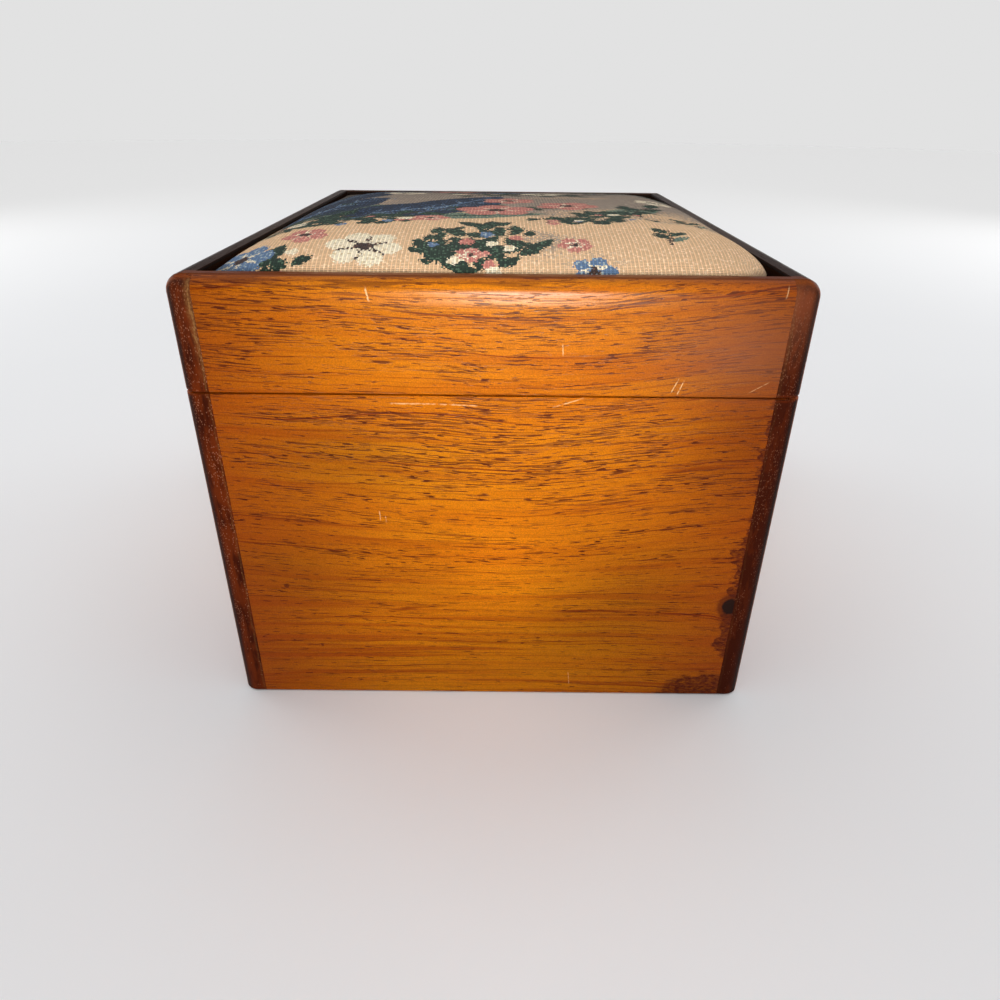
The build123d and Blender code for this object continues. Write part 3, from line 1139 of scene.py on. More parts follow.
@dataclass(frozen=True)
class Leaf:
    """A pointed leaf, in millimetres and degrees on the flat cloth."""

    x: float
    y: float
    turn: float
    length: float
    width: float

    def size(self) -> float:
        """Return how far the leaf goes from its root."""
        return self.length

    def reach(self, u: np.ndarray, v: np.ndarray) -> np.ndarray:
        """Return how far each place lies inside the leaf, below zero outside it.

        Args:
            u: Places across the cloth, in mm.
            v: Places up the cloth, in mm.

        Returns:
            How far inside the leaf, in mm.
        """
        along, aside = turned(self, u, v)
        share = np.clip(along / self.length, 0, 1)
        half = self.width / 2 * np.sin(np.pi * share**0.8) ** 0.9
        return half - np.abs(aside) - past_ends(along, self.length)


@dataclass(frozen=True)
class Blossom:
    """A round flower with notched petals."""

    x: float
    y: float
    radius: float
    petals: int
    turn: float

    def size(self) -> float:
        """Return how far the flower goes from its eye."""
        return self.radius

    def reach(self, u: np.ndarray, v: np.ndarray) -> np.ndarray:
        """Return how far each place lies inside the flower, below zero outside it.

        Args:
            u: Places across the cloth, in mm.
            v: Places up the cloth, in mm.

        Returns:
            How far inside the flower, in mm.
        """
        angle = np.arctan2(v - self.y, u - self.x) + math.radians(self.turn)
        lobe = np.abs(np.cos(self.petals * angle / 2)) ** 0.7
        return self.radius * (0.68 + 0.32 * lobe) - np.hypot(u - self.x, v - self.y)


@dataclass(frozen=True)
class Vine:
    """A wandering stem: a straight way with two waves on it."""

    x: float
    y: float
    turn: float
    length: float
    swing: float
    wave: float
    width: float

    def size(self) -> float:
        """Return how far the vine goes from its root."""
        return self.length + self.swing

    def place(self, along: float) -> tuple[float, float, float]:
        """Return the place and the direction of the vine at a distance along it.

        Args:
            along: How far along the vine, in mm.

        Returns:
            The place, in mm, and the direction, in degrees.
        """
        phase = 2 * math.pi * along / self.wave
        aside = self.swing * math.sin(phase)
        slope = math.degrees(math.atan(self.swing * 2 * math.pi / self.wave * math.cos(phase)))
        c, s = math.cos(math.radians(self.turn)), math.sin(math.radians(self.turn))
        return self.x + along * c - aside * s, self.y + along * s + aside * c, self.turn + slope

    def reach(self, u: np.ndarray, v: np.ndarray) -> np.ndarray:
        """Return how far each place lies inside the stem, below zero outside it.

        Args:
            u: Places across the cloth, in mm.
            v: Places up the cloth, in mm.

        Returns:
            How far inside the stem, in mm.
        """
        along, aside = turned(self, u, v)
        phase = 2 * math.pi * along / self.wave
        off = np.abs(aside - self.swing * np.sin(phase))
        slope = self.swing * 2 * math.pi / self.wave * np.cos(phase)
        return self.width / 2 - off / np.sqrt(1 + slope**2) - past_ends(along, self.length)


Motif = Union[Leaf, Blossom, Vine]


class Garden:
    """The generic pattern of the tapestry: wandering vines with leaves, blossoms and berries."""

    def __init__(self, seed: int) -> None:
        """Lay out the pattern.

        Args:
            seed: Start of the random draws, so that each run gives the same pattern.
        """
        self.draw = random.Random(seed)
        self.motifs: dict[Thread, list[Motif]] = {thread: [] for thread in self.layers()}
        self.plumes()
        self.vines()
        self.bushes()
        self.blossoms()
        self.sprigs()

    @staticmethod
    def layers() -> list[Thread]:
        """Return the threads that have motifs, lowest first.

        Returns:
            The threads, each of them once.
        """
        return [
            Thread.SAGE,
            Thread.NAVY,
            Thread.STEM,
            Thread.LEAF,
            Thread.SKY,
            Thread.ROSE,
            Thread.CREAM,
            Thread.EYE,
        ]

    def plumes(self) -> None:
        """Add the large dark leaves and the soft pale ones behind everything else."""
        for x, y, turn, length, width, thread in (
            (-66.0, -46.0, 34.0, 40.0, 17.0, Thread.SAGE),
            (-24.0, -50.0, 12.0, 40.0, 13.0, Thread.SAGE),
            (28.0, -44.0, 40.0, 30.0, 11.0, Thread.SAGE),
            (-70.0, 62.0, -20.0, 44.0, 20.0, Thread.SAGE),
            (4.0, 58.0, 16.0, 46.0, 16.0, Thread.SAGE),
            (-64.0, -44.0, 58.0, 52.0, 26.0, Thread.NAVY),
            (-44.0, -50.0, 40.0, 60.0, 28.0, Thread.NAVY),
            (-24.0, -46.0, 66.0, 62.0, 26.0, Thread.NAVY),
            (-62.0, -14.0, 70.0, 62.0, 28.0, Thread.NAVY),
            (-66.0, 34.0, 18.0, 54.0, 24.0, Thread.NAVY),
            (-26.0, 40.0, -6.0, 44.0, 20.0, Thread.NAVY),
            (-60.0, 78.0, -4.0, 50.0, 18.0, Thread.NAVY),
            (34.0, 74.0, -10.0, 34.0, 14.0, Thread.NAVY),
        ):
            self.motifs[thread].append(Leaf(x, y, turn, length, width))
            rib = Thread.SKY if thread is Thread.NAVY else Thread.LEAF
            self.motifs[rib].append(Leaf(x, y, turn, length * 0.9, 1.3))
            for step in range(1, 6):
                share = step / 6
                root = away_from(x, y, turn, length * share, length * share)
                for side in (-36.0, 36.0):
                    self.motifs[rib].append(Leaf(*root, turn + side, width * 0.36, 0.9))

    def vines(self) -> None:
        """Add the stems with their leaves on alternate sides."""
        for vine in (
            Vine(-68.0, -52.0, 18.0, 96.0, 5.0, 52.0, 1.6),
            Vine(-12.0, 6.0, 24.0, 86.0, 6.0, 50.0, 1.8),
            Vine(14.0, -60.0, 44.0, 52.0, 4.0, 40.0, 1.4),
            Vine(-20.0, 82.0, -8.0, 88.0, 5.0, 46.0, 2.0),
            Vine(66.0, 6.0, 118.0, 60.0, 5.0, 40.0, 1.5),
        ):
            self.motifs[Thread.STEM].append(vine)
            along, side = 4.0, 1
            while along < vine.length:
                x, y, way = vine.place(along)
                turn = way + side * self.draw.uniform(32, 62)
                length = self.draw.uniform(6.0, 11.0)
                leaf = Leaf(x, y, turn, length, length * self.draw.uniform(0.40, 0.55))
                self.motifs[Thread.LEAF].append(leaf)
                along += self.draw.uniform(3.5, 6.5)
                side = -side

    def bushes(self) -> None:
        """Add the clumps of small leaves, with buds and light gaps among them."""
        for x, y, reach_x, reach_y, leaves in (
            (-4.0, -80.0, 15.0, 16.0, 80),
            (-50.0, -88.0, 7.0, 6.0, 14),
            (-42.0, -55.0, 24.0, 8.0, 66),
            (-60.0, -60.0, 8.0, 8.0, 16),
            (34.0, -46.0, 10.0, 9.0, 26),
            (22.0, -58.0, 14.0, 6.0, 26),
            (-4.0, 26.0, 14.0, 14.0, 34),
            (44.0, 40.0, 20.0, 9.0, 26),
            (8.0, 74.0, 26.0, 10.0, 40),
        ):
            for _ in range(leaves):
                turn, way = self.draw.uniform(0, 360), math.sqrt(self.draw.random())
                root = away_from(x, y, turn, reach_x * way, reach_y * way)
                length = self.draw.uniform(4.0, 8.0)
                leaf = Leaf(*root, self.draw.uniform(20, 160), length, length * 0.5)
                self.motifs[Thread.LEAF].append(leaf)
            for bud in range(leaves // 6):
                turn, way = self.draw.uniform(0, 360), math.sqrt(self.draw.random()) * 0.9
                place = away_from(x, y, turn, reach_x * way, reach_y * way)
                thread = (Thread.ROSE, Thread.CREAM, Thread.SKY)[bud % 3]
                radius = self.draw.uniform(1.2, 2.3)
                self.motifs[thread].append(Blossom(*place, radius, 5, turn))

    def blossoms(self) -> None:
        """Add the flowers, large ones first."""
        for x, y, radius, petals, turn, thread in (
            (-32.0, -80.0, 9.5, 6, 10.0, Thread.CREAM),
            (-62.0, -84.0, 9.0, 6, 0.0, Thread.SKY),
            (-48.0, -72.0, 6.0, 5, 20.0, Thread.ROSE),
            (24.0, -90.0, 5.5, 5, 0.0, Thread.SKY),
            (-6.0, -84.0, 3.6, 5, 0.0, Thread.ROSE),
            (0.0, -34.0, 12.0, 5, 50.0, Thread.ROSE),
            (22.0, -22.0, 10.0, 5, 10.0, Thread.ROSE),
            (4.0, -8.0, 9.0, 6, 30.0, Thread.ROSE),
            (16.0, 26.0, 8.0, 7, 0.0, Thread.CREAM),
            (-34.0, 26.0, 8.0, 7, 20.0, Thread.CREAM),
            (-16.0, 44.0, 10.0, 6, 0.0, Thread.ROSE),
            (52.0, -6.0, 6.5, 6, 40.0, Thread.CREAM),
            (20.0, -78.0, 4.5, 5, 25.0, Thread.ROSE),
            (-18.0, -52.0, 5.5, 5, 5.0, Thread.ROSE),
            (30.0, 56.0, 8.0, 6, 0.0, Thread.SKY),
        ):
            self.motifs[thread].append(Blossom(x, y, radius, petals, turn))
            self.motifs[Thread.EYE].append(Blossom(x, y, radius * 0.26, 5, turn))
            for petal in range(petals):
                way = (petal + 0.5) * 360 / petals - turn
                crease = Leaf(x, y, way, radius * 0.75, 1.0)
                over = Thread.EYE if thread is Thread.CREAM else Thread.CREAM
                self.motifs[over].append(crease)

    def sprigs(self) -> None:
        """Set a few small twigs of leaves on the bare ground at the right."""
        spacing = 2.2
        for x, y, turn, leaves in (
            (44.0, -78.0, 84.0, 4),
            (57.0, -56.0, 104.0, 4),
            (38.0, -34.0, 70.0, 4),
            (60.0, 14.0, 100.0, 5),
            (-56.0, -20.0, 20.0, 4),
        ):
            self.motifs[Thread.STEM].append(Leaf(x, y, turn, 5.0 + leaves * spacing, 1.2))
            for step in range(leaves):
                along = 3.0 + step * spacing
                root = away_from(x, y, turn, along, along)
                lean = 48.0 if step % 2 else -48.0
                thread = Thread.LEAF if step else Thread.SAGE
                self.motifs[thread].append(Leaf(*root, turn + lean, 6.5, 3.0))

    def fields(self, u: np.ndarray, v: np.ndarray) -> dict[Thread, np.ndarray]:
        """Return each thread's field: how far inside its motifs every place lies, in mm.

        Args:
            u: Places across the cloth, in mm.
            v: Places up the cloth, in mm.

        Returns:
            The fields, by thread.
        """
        made = {}
        for thread, motifs in self.motifs.items():
            best = np.full(u.shape, -FAR_MM)
            for motif in motifs:
                away = np.maximum(np.abs(u - motif.x), np.abs(v - motif.y))
                near = np.flatnonzero(away < motif.size() + FAR_MM)
                best[near] = np.maximum(best[near], motif.reach(u[near], v[near]))
            made[thread] = best
        return made


# ------------------------------------------------------------------ edit-mode helpers


def deselect_all() -> None:
    """Leave nothing selected, so that operators act on the next new piece alone."""
    bpy.ops.object.select_all(action="DESELECT")


def select_only(piece: bpy.types.Object) -> None:
    """Make one object the selected and active one.

    Args:
        piece: The object.
    """
    deselect_all()
    piece.select_set(True)
    bpy.context.view_layer.objects.active = piece


def apply_modifiers(piece: bpy.types.Object) -> None:
    """Apply every modifier of a piece, in order.

    Args:
        piece: The object.
    """
    select_only(piece)
    for modifier in list(piece.modifiers):
        bpy.ops.object.modifier_apply(modifier=modifier.name)


def places(mesh: bpy.types.Mesh) -> np.ndarray:
    """Return the places of a mesh's vertices as rows.

    Args:
        mesh: The mesh.

    Returns:
        One row of x, y and z for each vertex.
    """
    flat = np.empty(len(mesh.vertices) * 3)
    mesh.vertices.foreach_get("co", flat)
    return flat.reshape(-1, 3)


def move_to(mesh: bpy.types.Mesh, rows: np.ndarray) -> None:
    """Move a mesh's vertices to the given rows."""
    mesh.vertices.foreach_set("co", rows.astype(np.float32).ravel())
    mesh.update()


# ------------------------------------------------------------------ sub-assemblies


@dataclass(frozen=True)
class Roll:
    """How the cloth rolls over one edge of the pad, in metres.

    Attributes:
        width: From the pad's edge in to where its top is flat.
        rise: From the pad's edge up to its flat top.
        steep: 1 where the cloth stands straight up at the edge, 0 where it slopes up.
        bulge: How far the cloth swells out over the rail.
    """

    width: float
    rise: float
    steep: float
    bulge: float = 0.0

    def curve(self) -> tuple[np.ndarray, np.ndarray, np.ndarray]:
        """Return points on the roll: the cloth's length so far, the way inward and the height.

        Returns:
            The lengths, the ways inward and the heights, in metres.
        """
        angle = np.linspace(0.0, math.pi / 2, 97)
        share = 1.0 - np.cos(angle)
        inward = self.width * share - self.bulge * np.sin(2.0 * angle)
        slope = 1.0 - (1.0 - share) ** 2.2
        height = self.rise * (self.steep * np.sin(angle) + (1.0 - self.steep) * slope)
        steps = np.hypot(np.diff(inward), np.diff(height))
        return np.concatenate(([0.0], np.cumsum(steps))), inward, height

    def spare(self) -> float:
        """Return how much more cloth the roll takes than flat ground would."""
        length, inward, _ = self.curve()
        return float(length[-1] - inward[-1])

    def lay(self, cloth: np.ndarray) -> tuple[np.ndarray, np.ndarray]:
        """Return the way inward, and the share of the rise, for lengths of cloth.

        Args:
            cloth: Lengths of cloth from the pad's edge inward.

        Returns:
            The ways inward, and the heights as shares of the roll's rise.
        """
        length, inward, height = self.curve()
        beyond = np.maximum(cloth - length[-1], 0.0)
        way = np.interp(cloth, length, inward) + beyond
        return way, np.interp(cloth, length, height) / self.rise


@dataclass
class WovenCover:
    """The tapestry of the lid: a flat grid pulled over the foam, down its sides and under it.

    The foam is cut from the cloth's own folds, so it fills the cover. Sizes are in metres.

    Attributes:
        name: The cover's name.
        columns: Faces of the grid from left to right.
        rows: Faces of the grid from front to back.
        crowding: How strongly rows and columns crowd toward the edges, from 0 to 1.
        corner_radius: Radius of the pad's corners, seen from above.
        rise: From the pad's edge up to the flat of its crown.
        edge_below_crown: From the crown of the solid pad down to where the cloth turns down.
        corner_dip: How much lower the front right corner is, as a share of the rise.
        corner_reach: How far round that corner the dip goes.
        corner_tuck: How far that corner leans in from the rail.
        tuck_reach: How far round that corner the lean goes.
        turn_under: Width of the cloth turned in under the pad board.
        cloth_thickness: Thickness of the cloth.
        clear: Room between pieces that would otherwise touch.
        drawn_in: How far the cloth lies inside the solid pad's sides.
        pressure: Pressure under the cloth while it is puffed.
        puff_cap: No place is puffed farther than this.
        free_above: Cloth this far above the pad's edge is free to puff.
        frames: Steps of the simulation.
        sharp_angle: Edges of the foam that turn by more than this stay sharp, in radians.
        same_place: Places closer than this count as one.
    """

    name: str = "woven_cover"
    columns: int = 74
    rows: int = 96
    crowding: float = 0.80
    corner_radius: float = 6.0 * MM
    rise: float = 8.0 * MM
    edge_below_crown: float = 5.4 * MM
    corner_dip: float = 0.10
    corner_reach: float = 12.0 * MM
    corner_tuck: float = 2.0 * MM
    tuck_reach: float = 9.0 * MM
    turn_under: float = 12.0 * MM
    cloth_thickness: float = 0.9 * MM
    clear: float = 0.05 * MM
    drawn_in: float = 0.9 * MM
    pressure: float = 4.0
    puff_cap: float = 0.5 * MM
    free_above: float = 0.3 * MM
    frames: int = 20
    sharp_angle: float = math.radians(40.0)
    same_place: float = 1e-7

    def __post_init__(self) -> None:
        """Take the pad's place from the frame and settle how the cloth rolls over each edge."""
        low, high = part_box("tapestry_cover")
        self.half_x = high.x - self.drawn_in
        self.half_y = high.y - self.drawn_in
        self.under_z = low.z + self.clear
        self.edge_z = high.z - self.edge_below_crown
        self.left = Roll(24.0 * MM, self.rise, 0.42)
        self.right = Roll(20.0 * MM, self.rise, 0.90, 0.5 * MM)
        self.front = Roll(30.0 * MM, self.rise, 0.90)
        self.back = Roll(120.0 * MM, self.rise, 0.0)

    def build(self) -> bpy.types.Object:
        """Model the cover, puff it, give it its thread fields and dress it.

        Returns:
            The cover.
        """
        sheet = self.flat_sheet()
        self.grade(sheet)
        self.lay_out_weave(sheet)
        self.fold(sheet)
        self.puff(sheet)
        self.foam(sheet)
        self.thicken(sheet)
        self.lay_out_threads(sheet)
        cloth = TapestryCloth("tapestry_cloth")
        sheet.data.materials.clear()
        sheet.data.materials.append(cloth.material(Garden.layers()))
        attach(sheet, "lid")
        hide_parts("tapestry_cover")
        return sheet

    # The sheet is first as wide and deep as its flat cloth, so it reaches past the pad's edge by
    # what the rolls take up.

    def reach(self) -> tuple[float, float, float, float]:
        """Return how far the flat cloth of the top goes to the left, right, front and back.

        Returns:
            The four distances.
        """
        return (
            self.half_x + self.left.spare(),
            self.half_x + self.right.spare(),
            self.half_y + self.front.spare(),
            self.half_y + self.back.spare(),
        )

    def flat_sheet(self) -> bpy.types.Object:
        """Add the grid over the pad, with rings of faces for its sides and its turned edge.

        Returns:
            The sheet, with its sides and its turned edge hanging straight down.
        """
        left, right, front, back = self.reach()
        deselect_all()
        bpy.ops.mesh.primitive_grid_add(
            x_subdivisions=self.columns,
            y_subdivisions=self.rows,
            size=1.0,
            location=((right - left) / 2, (back - front) / 2, self.edge_z),
        )
        sheet = bpy.context.object
        sheet.name = self.name
        bpy.ops.object.mode_set(mode="EDIT")
        bpy.ops.mesh.select_mode(type="EDGE")
        bpy.ops.mesh.select_all(action="SELECT")
        bpy.ops.transform.resize(value=(left + right, front + back, 1.0))
        for drop in self.side_steps():
            self.select_rim()
            bpy.ops.mesh.extrude_region_move(TRANSFORM_OT_translate={"value": (0.0, 0.0, -drop)})
        for _ in self.under_steps():
            self.select_rim()
            bpy.ops.mesh.extrude_region_move(
                TRANSFORM_OT_translate={"value": (0.0, 0.0, -self.turn_under)}
            )
        bpy.ops.object.mode_set(mode="OBJECT")
        select_only(sheet)
        bpy.ops.object.transform_apply(location=True, rotation=True, scale=True)
        return sheet

    def side_steps(self) -> list[float]:
        """Return the heights of the rings down the side, narrow ones at both ends."""
        side = self.edge_z - self.under_z
        return [side * share for share in (0.06, 0.12, 0.32, 0.32, 0.12, 0.06)]

    def under_steps(self) -> list[float]:
        """Return the widths of the rings turned in under the pad board."""
        return [self.turn_under * share for share in (0.06, 0.14, 0.40, 0.40)]

    def select_rim(self) -> None:
        """Select the open edge of the sheet."""
        bpy.ops.mesh.select_all(action="DESELECT")
        bpy.ops.mesh.select_non_manifold(
            extend=False,
            use_wire=False,
            use_boundary=True,
            use_multi_face=False,
            use_non_contiguous=False,
            use_verts=False,
        )

    def grade(self, sheet: bpy.types.Object) -> None:
        """Crowd the grid's rows and columns toward the edges, where the cloth bends most.

        Args:
            sheet: The flat sheet.
        """
        rows = places(sheet.data)
        left, right, front, back = self.reach()
        quarter = self.crowding * math.pi / 2
        for axis, low, high in ((0, left, right), (1, front, back)):
            middle, half = (high - low) / 2, (high + low) / 2
            share = np.clip((rows[:, axis] - middle) / half, -1.0, 1.0)
            rows[:, axis] = middle + half * np.sin(share * quarter) / math.sin(quarter)
        move_to(sheet.data, rows)

    def past_edge(self, rows: np.ndarray) -> np.ndarray:
        """Return how much cloth lies between each place and the pad's edge, outside the top.

        Args:
            rows: Places on the flat sheet.

        Returns:
            Lengths of cloth, 0 on the top.
        """
        drop = np.maximum(self.edge_z - rows[:, 2], 0.0)
        side = self.edge_z - self.under_z
        marks, cloth = [0.0, side], [0.0, side]
        for step in self.under_steps():
            marks.append(marks[-1] + self.turn_under)
            cloth.append(cloth[-1] + step)
        return np.interp(drop, marks, cloth)

    def lay_out_weave(self, sheet: bpy.types.Object) -> None:
        """Write the weave map: where each corner of a face lay on the flat cloth, in metres.

        Args:
            sheet: The flat sheet.
        """
        rows = places(sheet.data)
        past = self.past_edge(rows)
        left, right, front, back = self.reach()
        for axis, low, high in ((0, left, right), (1, front, back)):
            ahead = rows[:, axis] > high - self.same_place
            behind = rows[:, axis] < self.same_place - low
            rows[:, axis] += np.where(ahead, past, 0.0) - np.where(behind, past, 0.0)
        corners = np.empty(len(sheet.data.loops), dtype=np.int32)
        sheet.data.loops.foreach_get("vertex_index", corners)
        while sheet.data.uv_layers:
            sheet.data.uv_layers.remove(sheet.data.uv_layers[0])
        layer = sheet.data.uv_layers.new(name=WEAVE_MAP)
        layer.uv.foreach_set("vector", rows[corners][:, :2].astype(np.float32).ravel())

    def fold(self, sheet: bpy.types.Object) -> None:
        """Fold the flat sheet over the pad: up its crown, down its sides and in under it.

        The front right corner is pressed a little lower and leans in from the rails.

        Args:
            sheet: The flat sheet.
        """
        rows = places(sheet.data)
        past = self.past_edge(rows)
        left, right, front, back = self.reach()
        x, lift_x = self.rolled(rows[:, 0], self.half_x, (left, self.left), (right, self.right))
        y, lift_y = self.rolled(rows[:, 1], self.half_y, (front, self.front), (back, self.back))
        side = self.edge_z - self.under_z
        inward = np.maximum(past - side, 0.0)
        flat = np.column_stack((x, y))
        flat = self.rounded(flat) * (1.0 - inward[:, None] / np.array((self.half_x, self.half_y)))
        near_x, near_y = self.half_x - flat[:, 0], self.half_y + flat[:, 1]
        away = near_x**2 + near_y**2
        lift = lift_x * lift_y * (1.0 - self.corner_dip * np.exp(-away / self.corner_reach**2))
        above = 1.0 - np.minimum(past, side) / side
        flat[:, 0] -= self.corner_tuck * np.exp(-away / self.tuck_reach**2) * above
        height = self.edge_z + self.rise * lift - np.minimum(past, side)
        move_to(sheet.data, np.column_stack((flat, height)))

    def rolled(
        self, flat: np.ndarray, half: float, low: tuple[float, Roll], high: tuple[float, Roll]
    ) -> tuple[np.ndarray, np.ndarray]:
        """Return places across the pad, and shares of its rise, for places on the flat cloth.

        Args:
            flat: Places across the flat cloth.
            half: Half the pad's size that way.
            low: How far the cloth goes to the low side, and its roll there.
            high: The same for the high side.

        Returns:
            The places, and the shares, from 0 at the edge to 1 on the crown.
        """
        way_low, lift_low = low[1].lay(np.maximum(flat + low[0], 0.0))
        way_high, lift_high = high[1].lay(np.maximum(high[0] - flat, 0.0))
        middle = (high[0] - low[0]) / 2
        place = np.where(flat < middle, way_low - half, half - way_high)
        return place, lift_low * lift_high

    def rounded(self, flat: np.ndarray) -> np.ndarray:
        """Return places of a square-cornered sheet bent to the pad's round corners.

        Args:
            flat: Rows of x and y.

        Returns:
            The rows, with those in the corners drawn in.
        """
        radius = self.corner_radius
        over_x = np.abs(flat[:, 0]) - (self.half_x - radius)
        over_y = np.abs(flat[:, 1]) - (self.half_y - radius)
        corner = (over_x > 0) & (over_y > 0)
        p, q = over_x / radius, over_y / radius
        wide = np.maximum(p, q)
        narrow = np.minimum(p, q) / np.maximum(wide, TINY)
        angle = np.where(p >= q, narrow * math.pi / 4, math.pi / 2 - narrow * math.pi / 4)
        made = flat.copy()
        new_x = np.sign(flat[:, 0]) * (self.half_x - radius + radius * wide * np.cos(angle))
        new_y = np.sign(flat[:, 1]) * (self.half_y - radius + radius * wide * np.sin(angle))
        made[:, 0] = np.where(corner, new_x, flat[:, 0])
        made[:, 1] = np.where(corner, new_y, flat[:, 1])
        return made

    def puff(self, sheet: bpy.types.Object) -> None:
        """Blow the top of the sheet up a little by a cloth simulation, and keep the result.

        Args:
            sheet: The folded sheet.
        """
        start = places(sheet.data)
        free = start[:, 2] > self.edge_z + self.free_above
        held = sheet.vertex_groups.new(name="held")
        held.add([int(i) for i in np.flatnonzero(~free)], 1.0, "REPLACE")
        modifier = sheet.modifiers.new("puff", "CLOTH")
        settings = modifier.settings
        settings.quality = 6
        settings.mass = 0.1
        settings.tension_stiffness = 30.0
        settings.compression_stiffness = 30.0
        settings.shear_stiffness = 12.0
        settings.bending_stiffness = 1.0
        settings.use_pressure = True
        settings.uniform_pressure_force = self.pressure
        settings.vertex_group_mass = held.name
        settings.effector_weights.gravity = 0.0
        modifier.collision_settings.use_collision = False
        modifier.point_cache.frame_start = 1
        modifier.point_cache.frame_end = self.frames
        for step in range(1, self.frames + 1):
            bpy.context.scene.frame_set(step)
        graph = bpy.context.evaluated_depsgraph_get()
        blown = sheet.evaluated_get(graph).to_mesh()
        moved = places(blown) - start
        sheet.evaluated_get(graph).to_mesh_clear()
        far = np.linalg.norm(moved, axis=1, keepdims=True)
        capped = moved * (self.puff_cap / np.maximum(far, self.puff_cap))
        sheet.modifiers.remove(modifier)
        move_to(sheet.data, start + capped)
        bpy.context.scene.frame_set(1)
        log.info("cover puffed by %.2f mm at most", float(far.max() / MM))

    def foam(self, sheet: bpy.types.Object) -> None:
        """Fill the space between the cloth and the pad board with a block of foam.

        Args:
            sheet: The folded cloth, still without its thickness.
        """
        block = sheet.copy()
        block.data = sheet.data.copy()
        block.name = "crowned_foam"
        bpy.context.scene.collection.objects.link(block)
        block.vertex_groups.clear()
        rows = places(block.data)
        inset = self.cloth_thickness + self.clear
        rows[:, 0] *= 1.0 - inset / self.half_x
        rows[:, 1] *= 1.0 - inset / self.half_y
        rows[:, 2] -= np.where(rows[:, 2] > self.edge_z - self.clear, inset, 0.0)
        move_to(block.data, rows)
        select_only(block)
        bpy.ops.object.mode_set(mode="EDIT")
        bpy.ops.mesh.select_all(action="SELECT")
        bpy.ops.mesh.bisect(
            plane_co=(0.0, 0.0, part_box("pad_board")[1].z + self.clear),
            plane_no=(0.0, 0.0, 1.0),
            use_fill=True,
            clear_inner=True,
        )
        bpy.ops.object.mode_set(mode="OBJECT")
        bpy.ops.object.shade_smooth_by_angle(angle=self.sharp_angle)
        block.data.materials.clear()
        block.data.materials.append(OpenFoam("pad_foam_cells").material())
        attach(block, "lid")
        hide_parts("pad_foam")

    def thicken(self, sheet: bpy.types.Object) -> None:
        """Smooth the sheet once and give it the cloth's thickness, inwards.

        Args:
            sheet: The folded sheet.
        """
        smooth = sheet.modifiers.new("smooth", "SUBSURF")
        smooth.levels = smooth.render_levels = 1
        solid = sheet.modifiers.new("thickness", "SOLIDIFY")
        solid.thickness = self.cloth_thickness
        solid.offset = -1.0
        apply_modifiers(sheet)
        sheet.vertex_groups.clear()
        bpy.ops.object.shade_smooth()

    def lay_out_threads(self, sheet: bpy.types.Object) -> None:
        """Write the motif fields of the garden onto the corners of the faces.

        Args:
            sheet: The finished cover, with its weave map.
        """
        layer = sheet.data.uv_layers[WEAVE_MAP]
        flat = np.empty(len(sheet.data.loops) * 2)
        layer.uv.foreach_get("vector", flat)
        u, v = flat.reshape(-1, 2).T / MM
        for thread, field in Garden(seed=11).fields(u, v).items():
            made = sheet.data.attributes.new(field_name(thread), "FLOAT", "CORNER")
            made.data.foreach_set("value", field.astype(np.float32))


SIDES = ("front", "back", "left", "right")


@dataclass
class Case:
    """The body: four varnished boards and the panel held in their groove."""

    boards: tuple[str, ...] = SIDES

    def build(self) -> list[bpy.types.Object]:
        """Dress the boards and the panel, and return them."""
        pieces = [dress(f"body_{side}_board", box_woods()[side]) for side in self.boards]
        return pieces + [dress("bottom_panel", Plywood("bottom_ply").material())]


@dataclass
class LidFrame:
    """The lid: four varnished rails, the panel in their groove and the inside of the pad."""

    rails: tuple[str, ...] = SIDES

    def build(self) -> list[bpy.types.Object]:
        """Dress the rails, the panel and what the cover hides, and return them.

        Returns:
            The dressed pieces.
        """
        steel = WornMetal("staple_wire", Metal.STEEL, Metal.STEEL_DULL, 0.3)
        pieces = [dress(f"lid_{side}_rail", box_woods()[side]) for side in self.rails]
        return pieces + [
            dress("lid_panel", Plywood("lid_ply").material()),
            dress("pad_board", Hardboard("pad_hardboard").material()),
            dress("cover_staples", steel.material()),
        ]


@dataclass
class ButtHinge:
    """One of the two small brass hinges let in at the back."""

    side: str
    pieces: tuple[str, ...] = ("body_leaf", "lid_leaf", "pin", "body_screws", "lid_screws")

    def build(self) -> list[bpy.types.Object]:
        """Dress the leaves, the pin and the screws, and return them."""
        brass = WornMetal(f"{self.side}_brass", Metal.BRASS, Metal.BRASS_DULL, 0.24).material()
        return [dress(f"{self.side}_hinge_{piece}", brass) for piece in self.pieces]


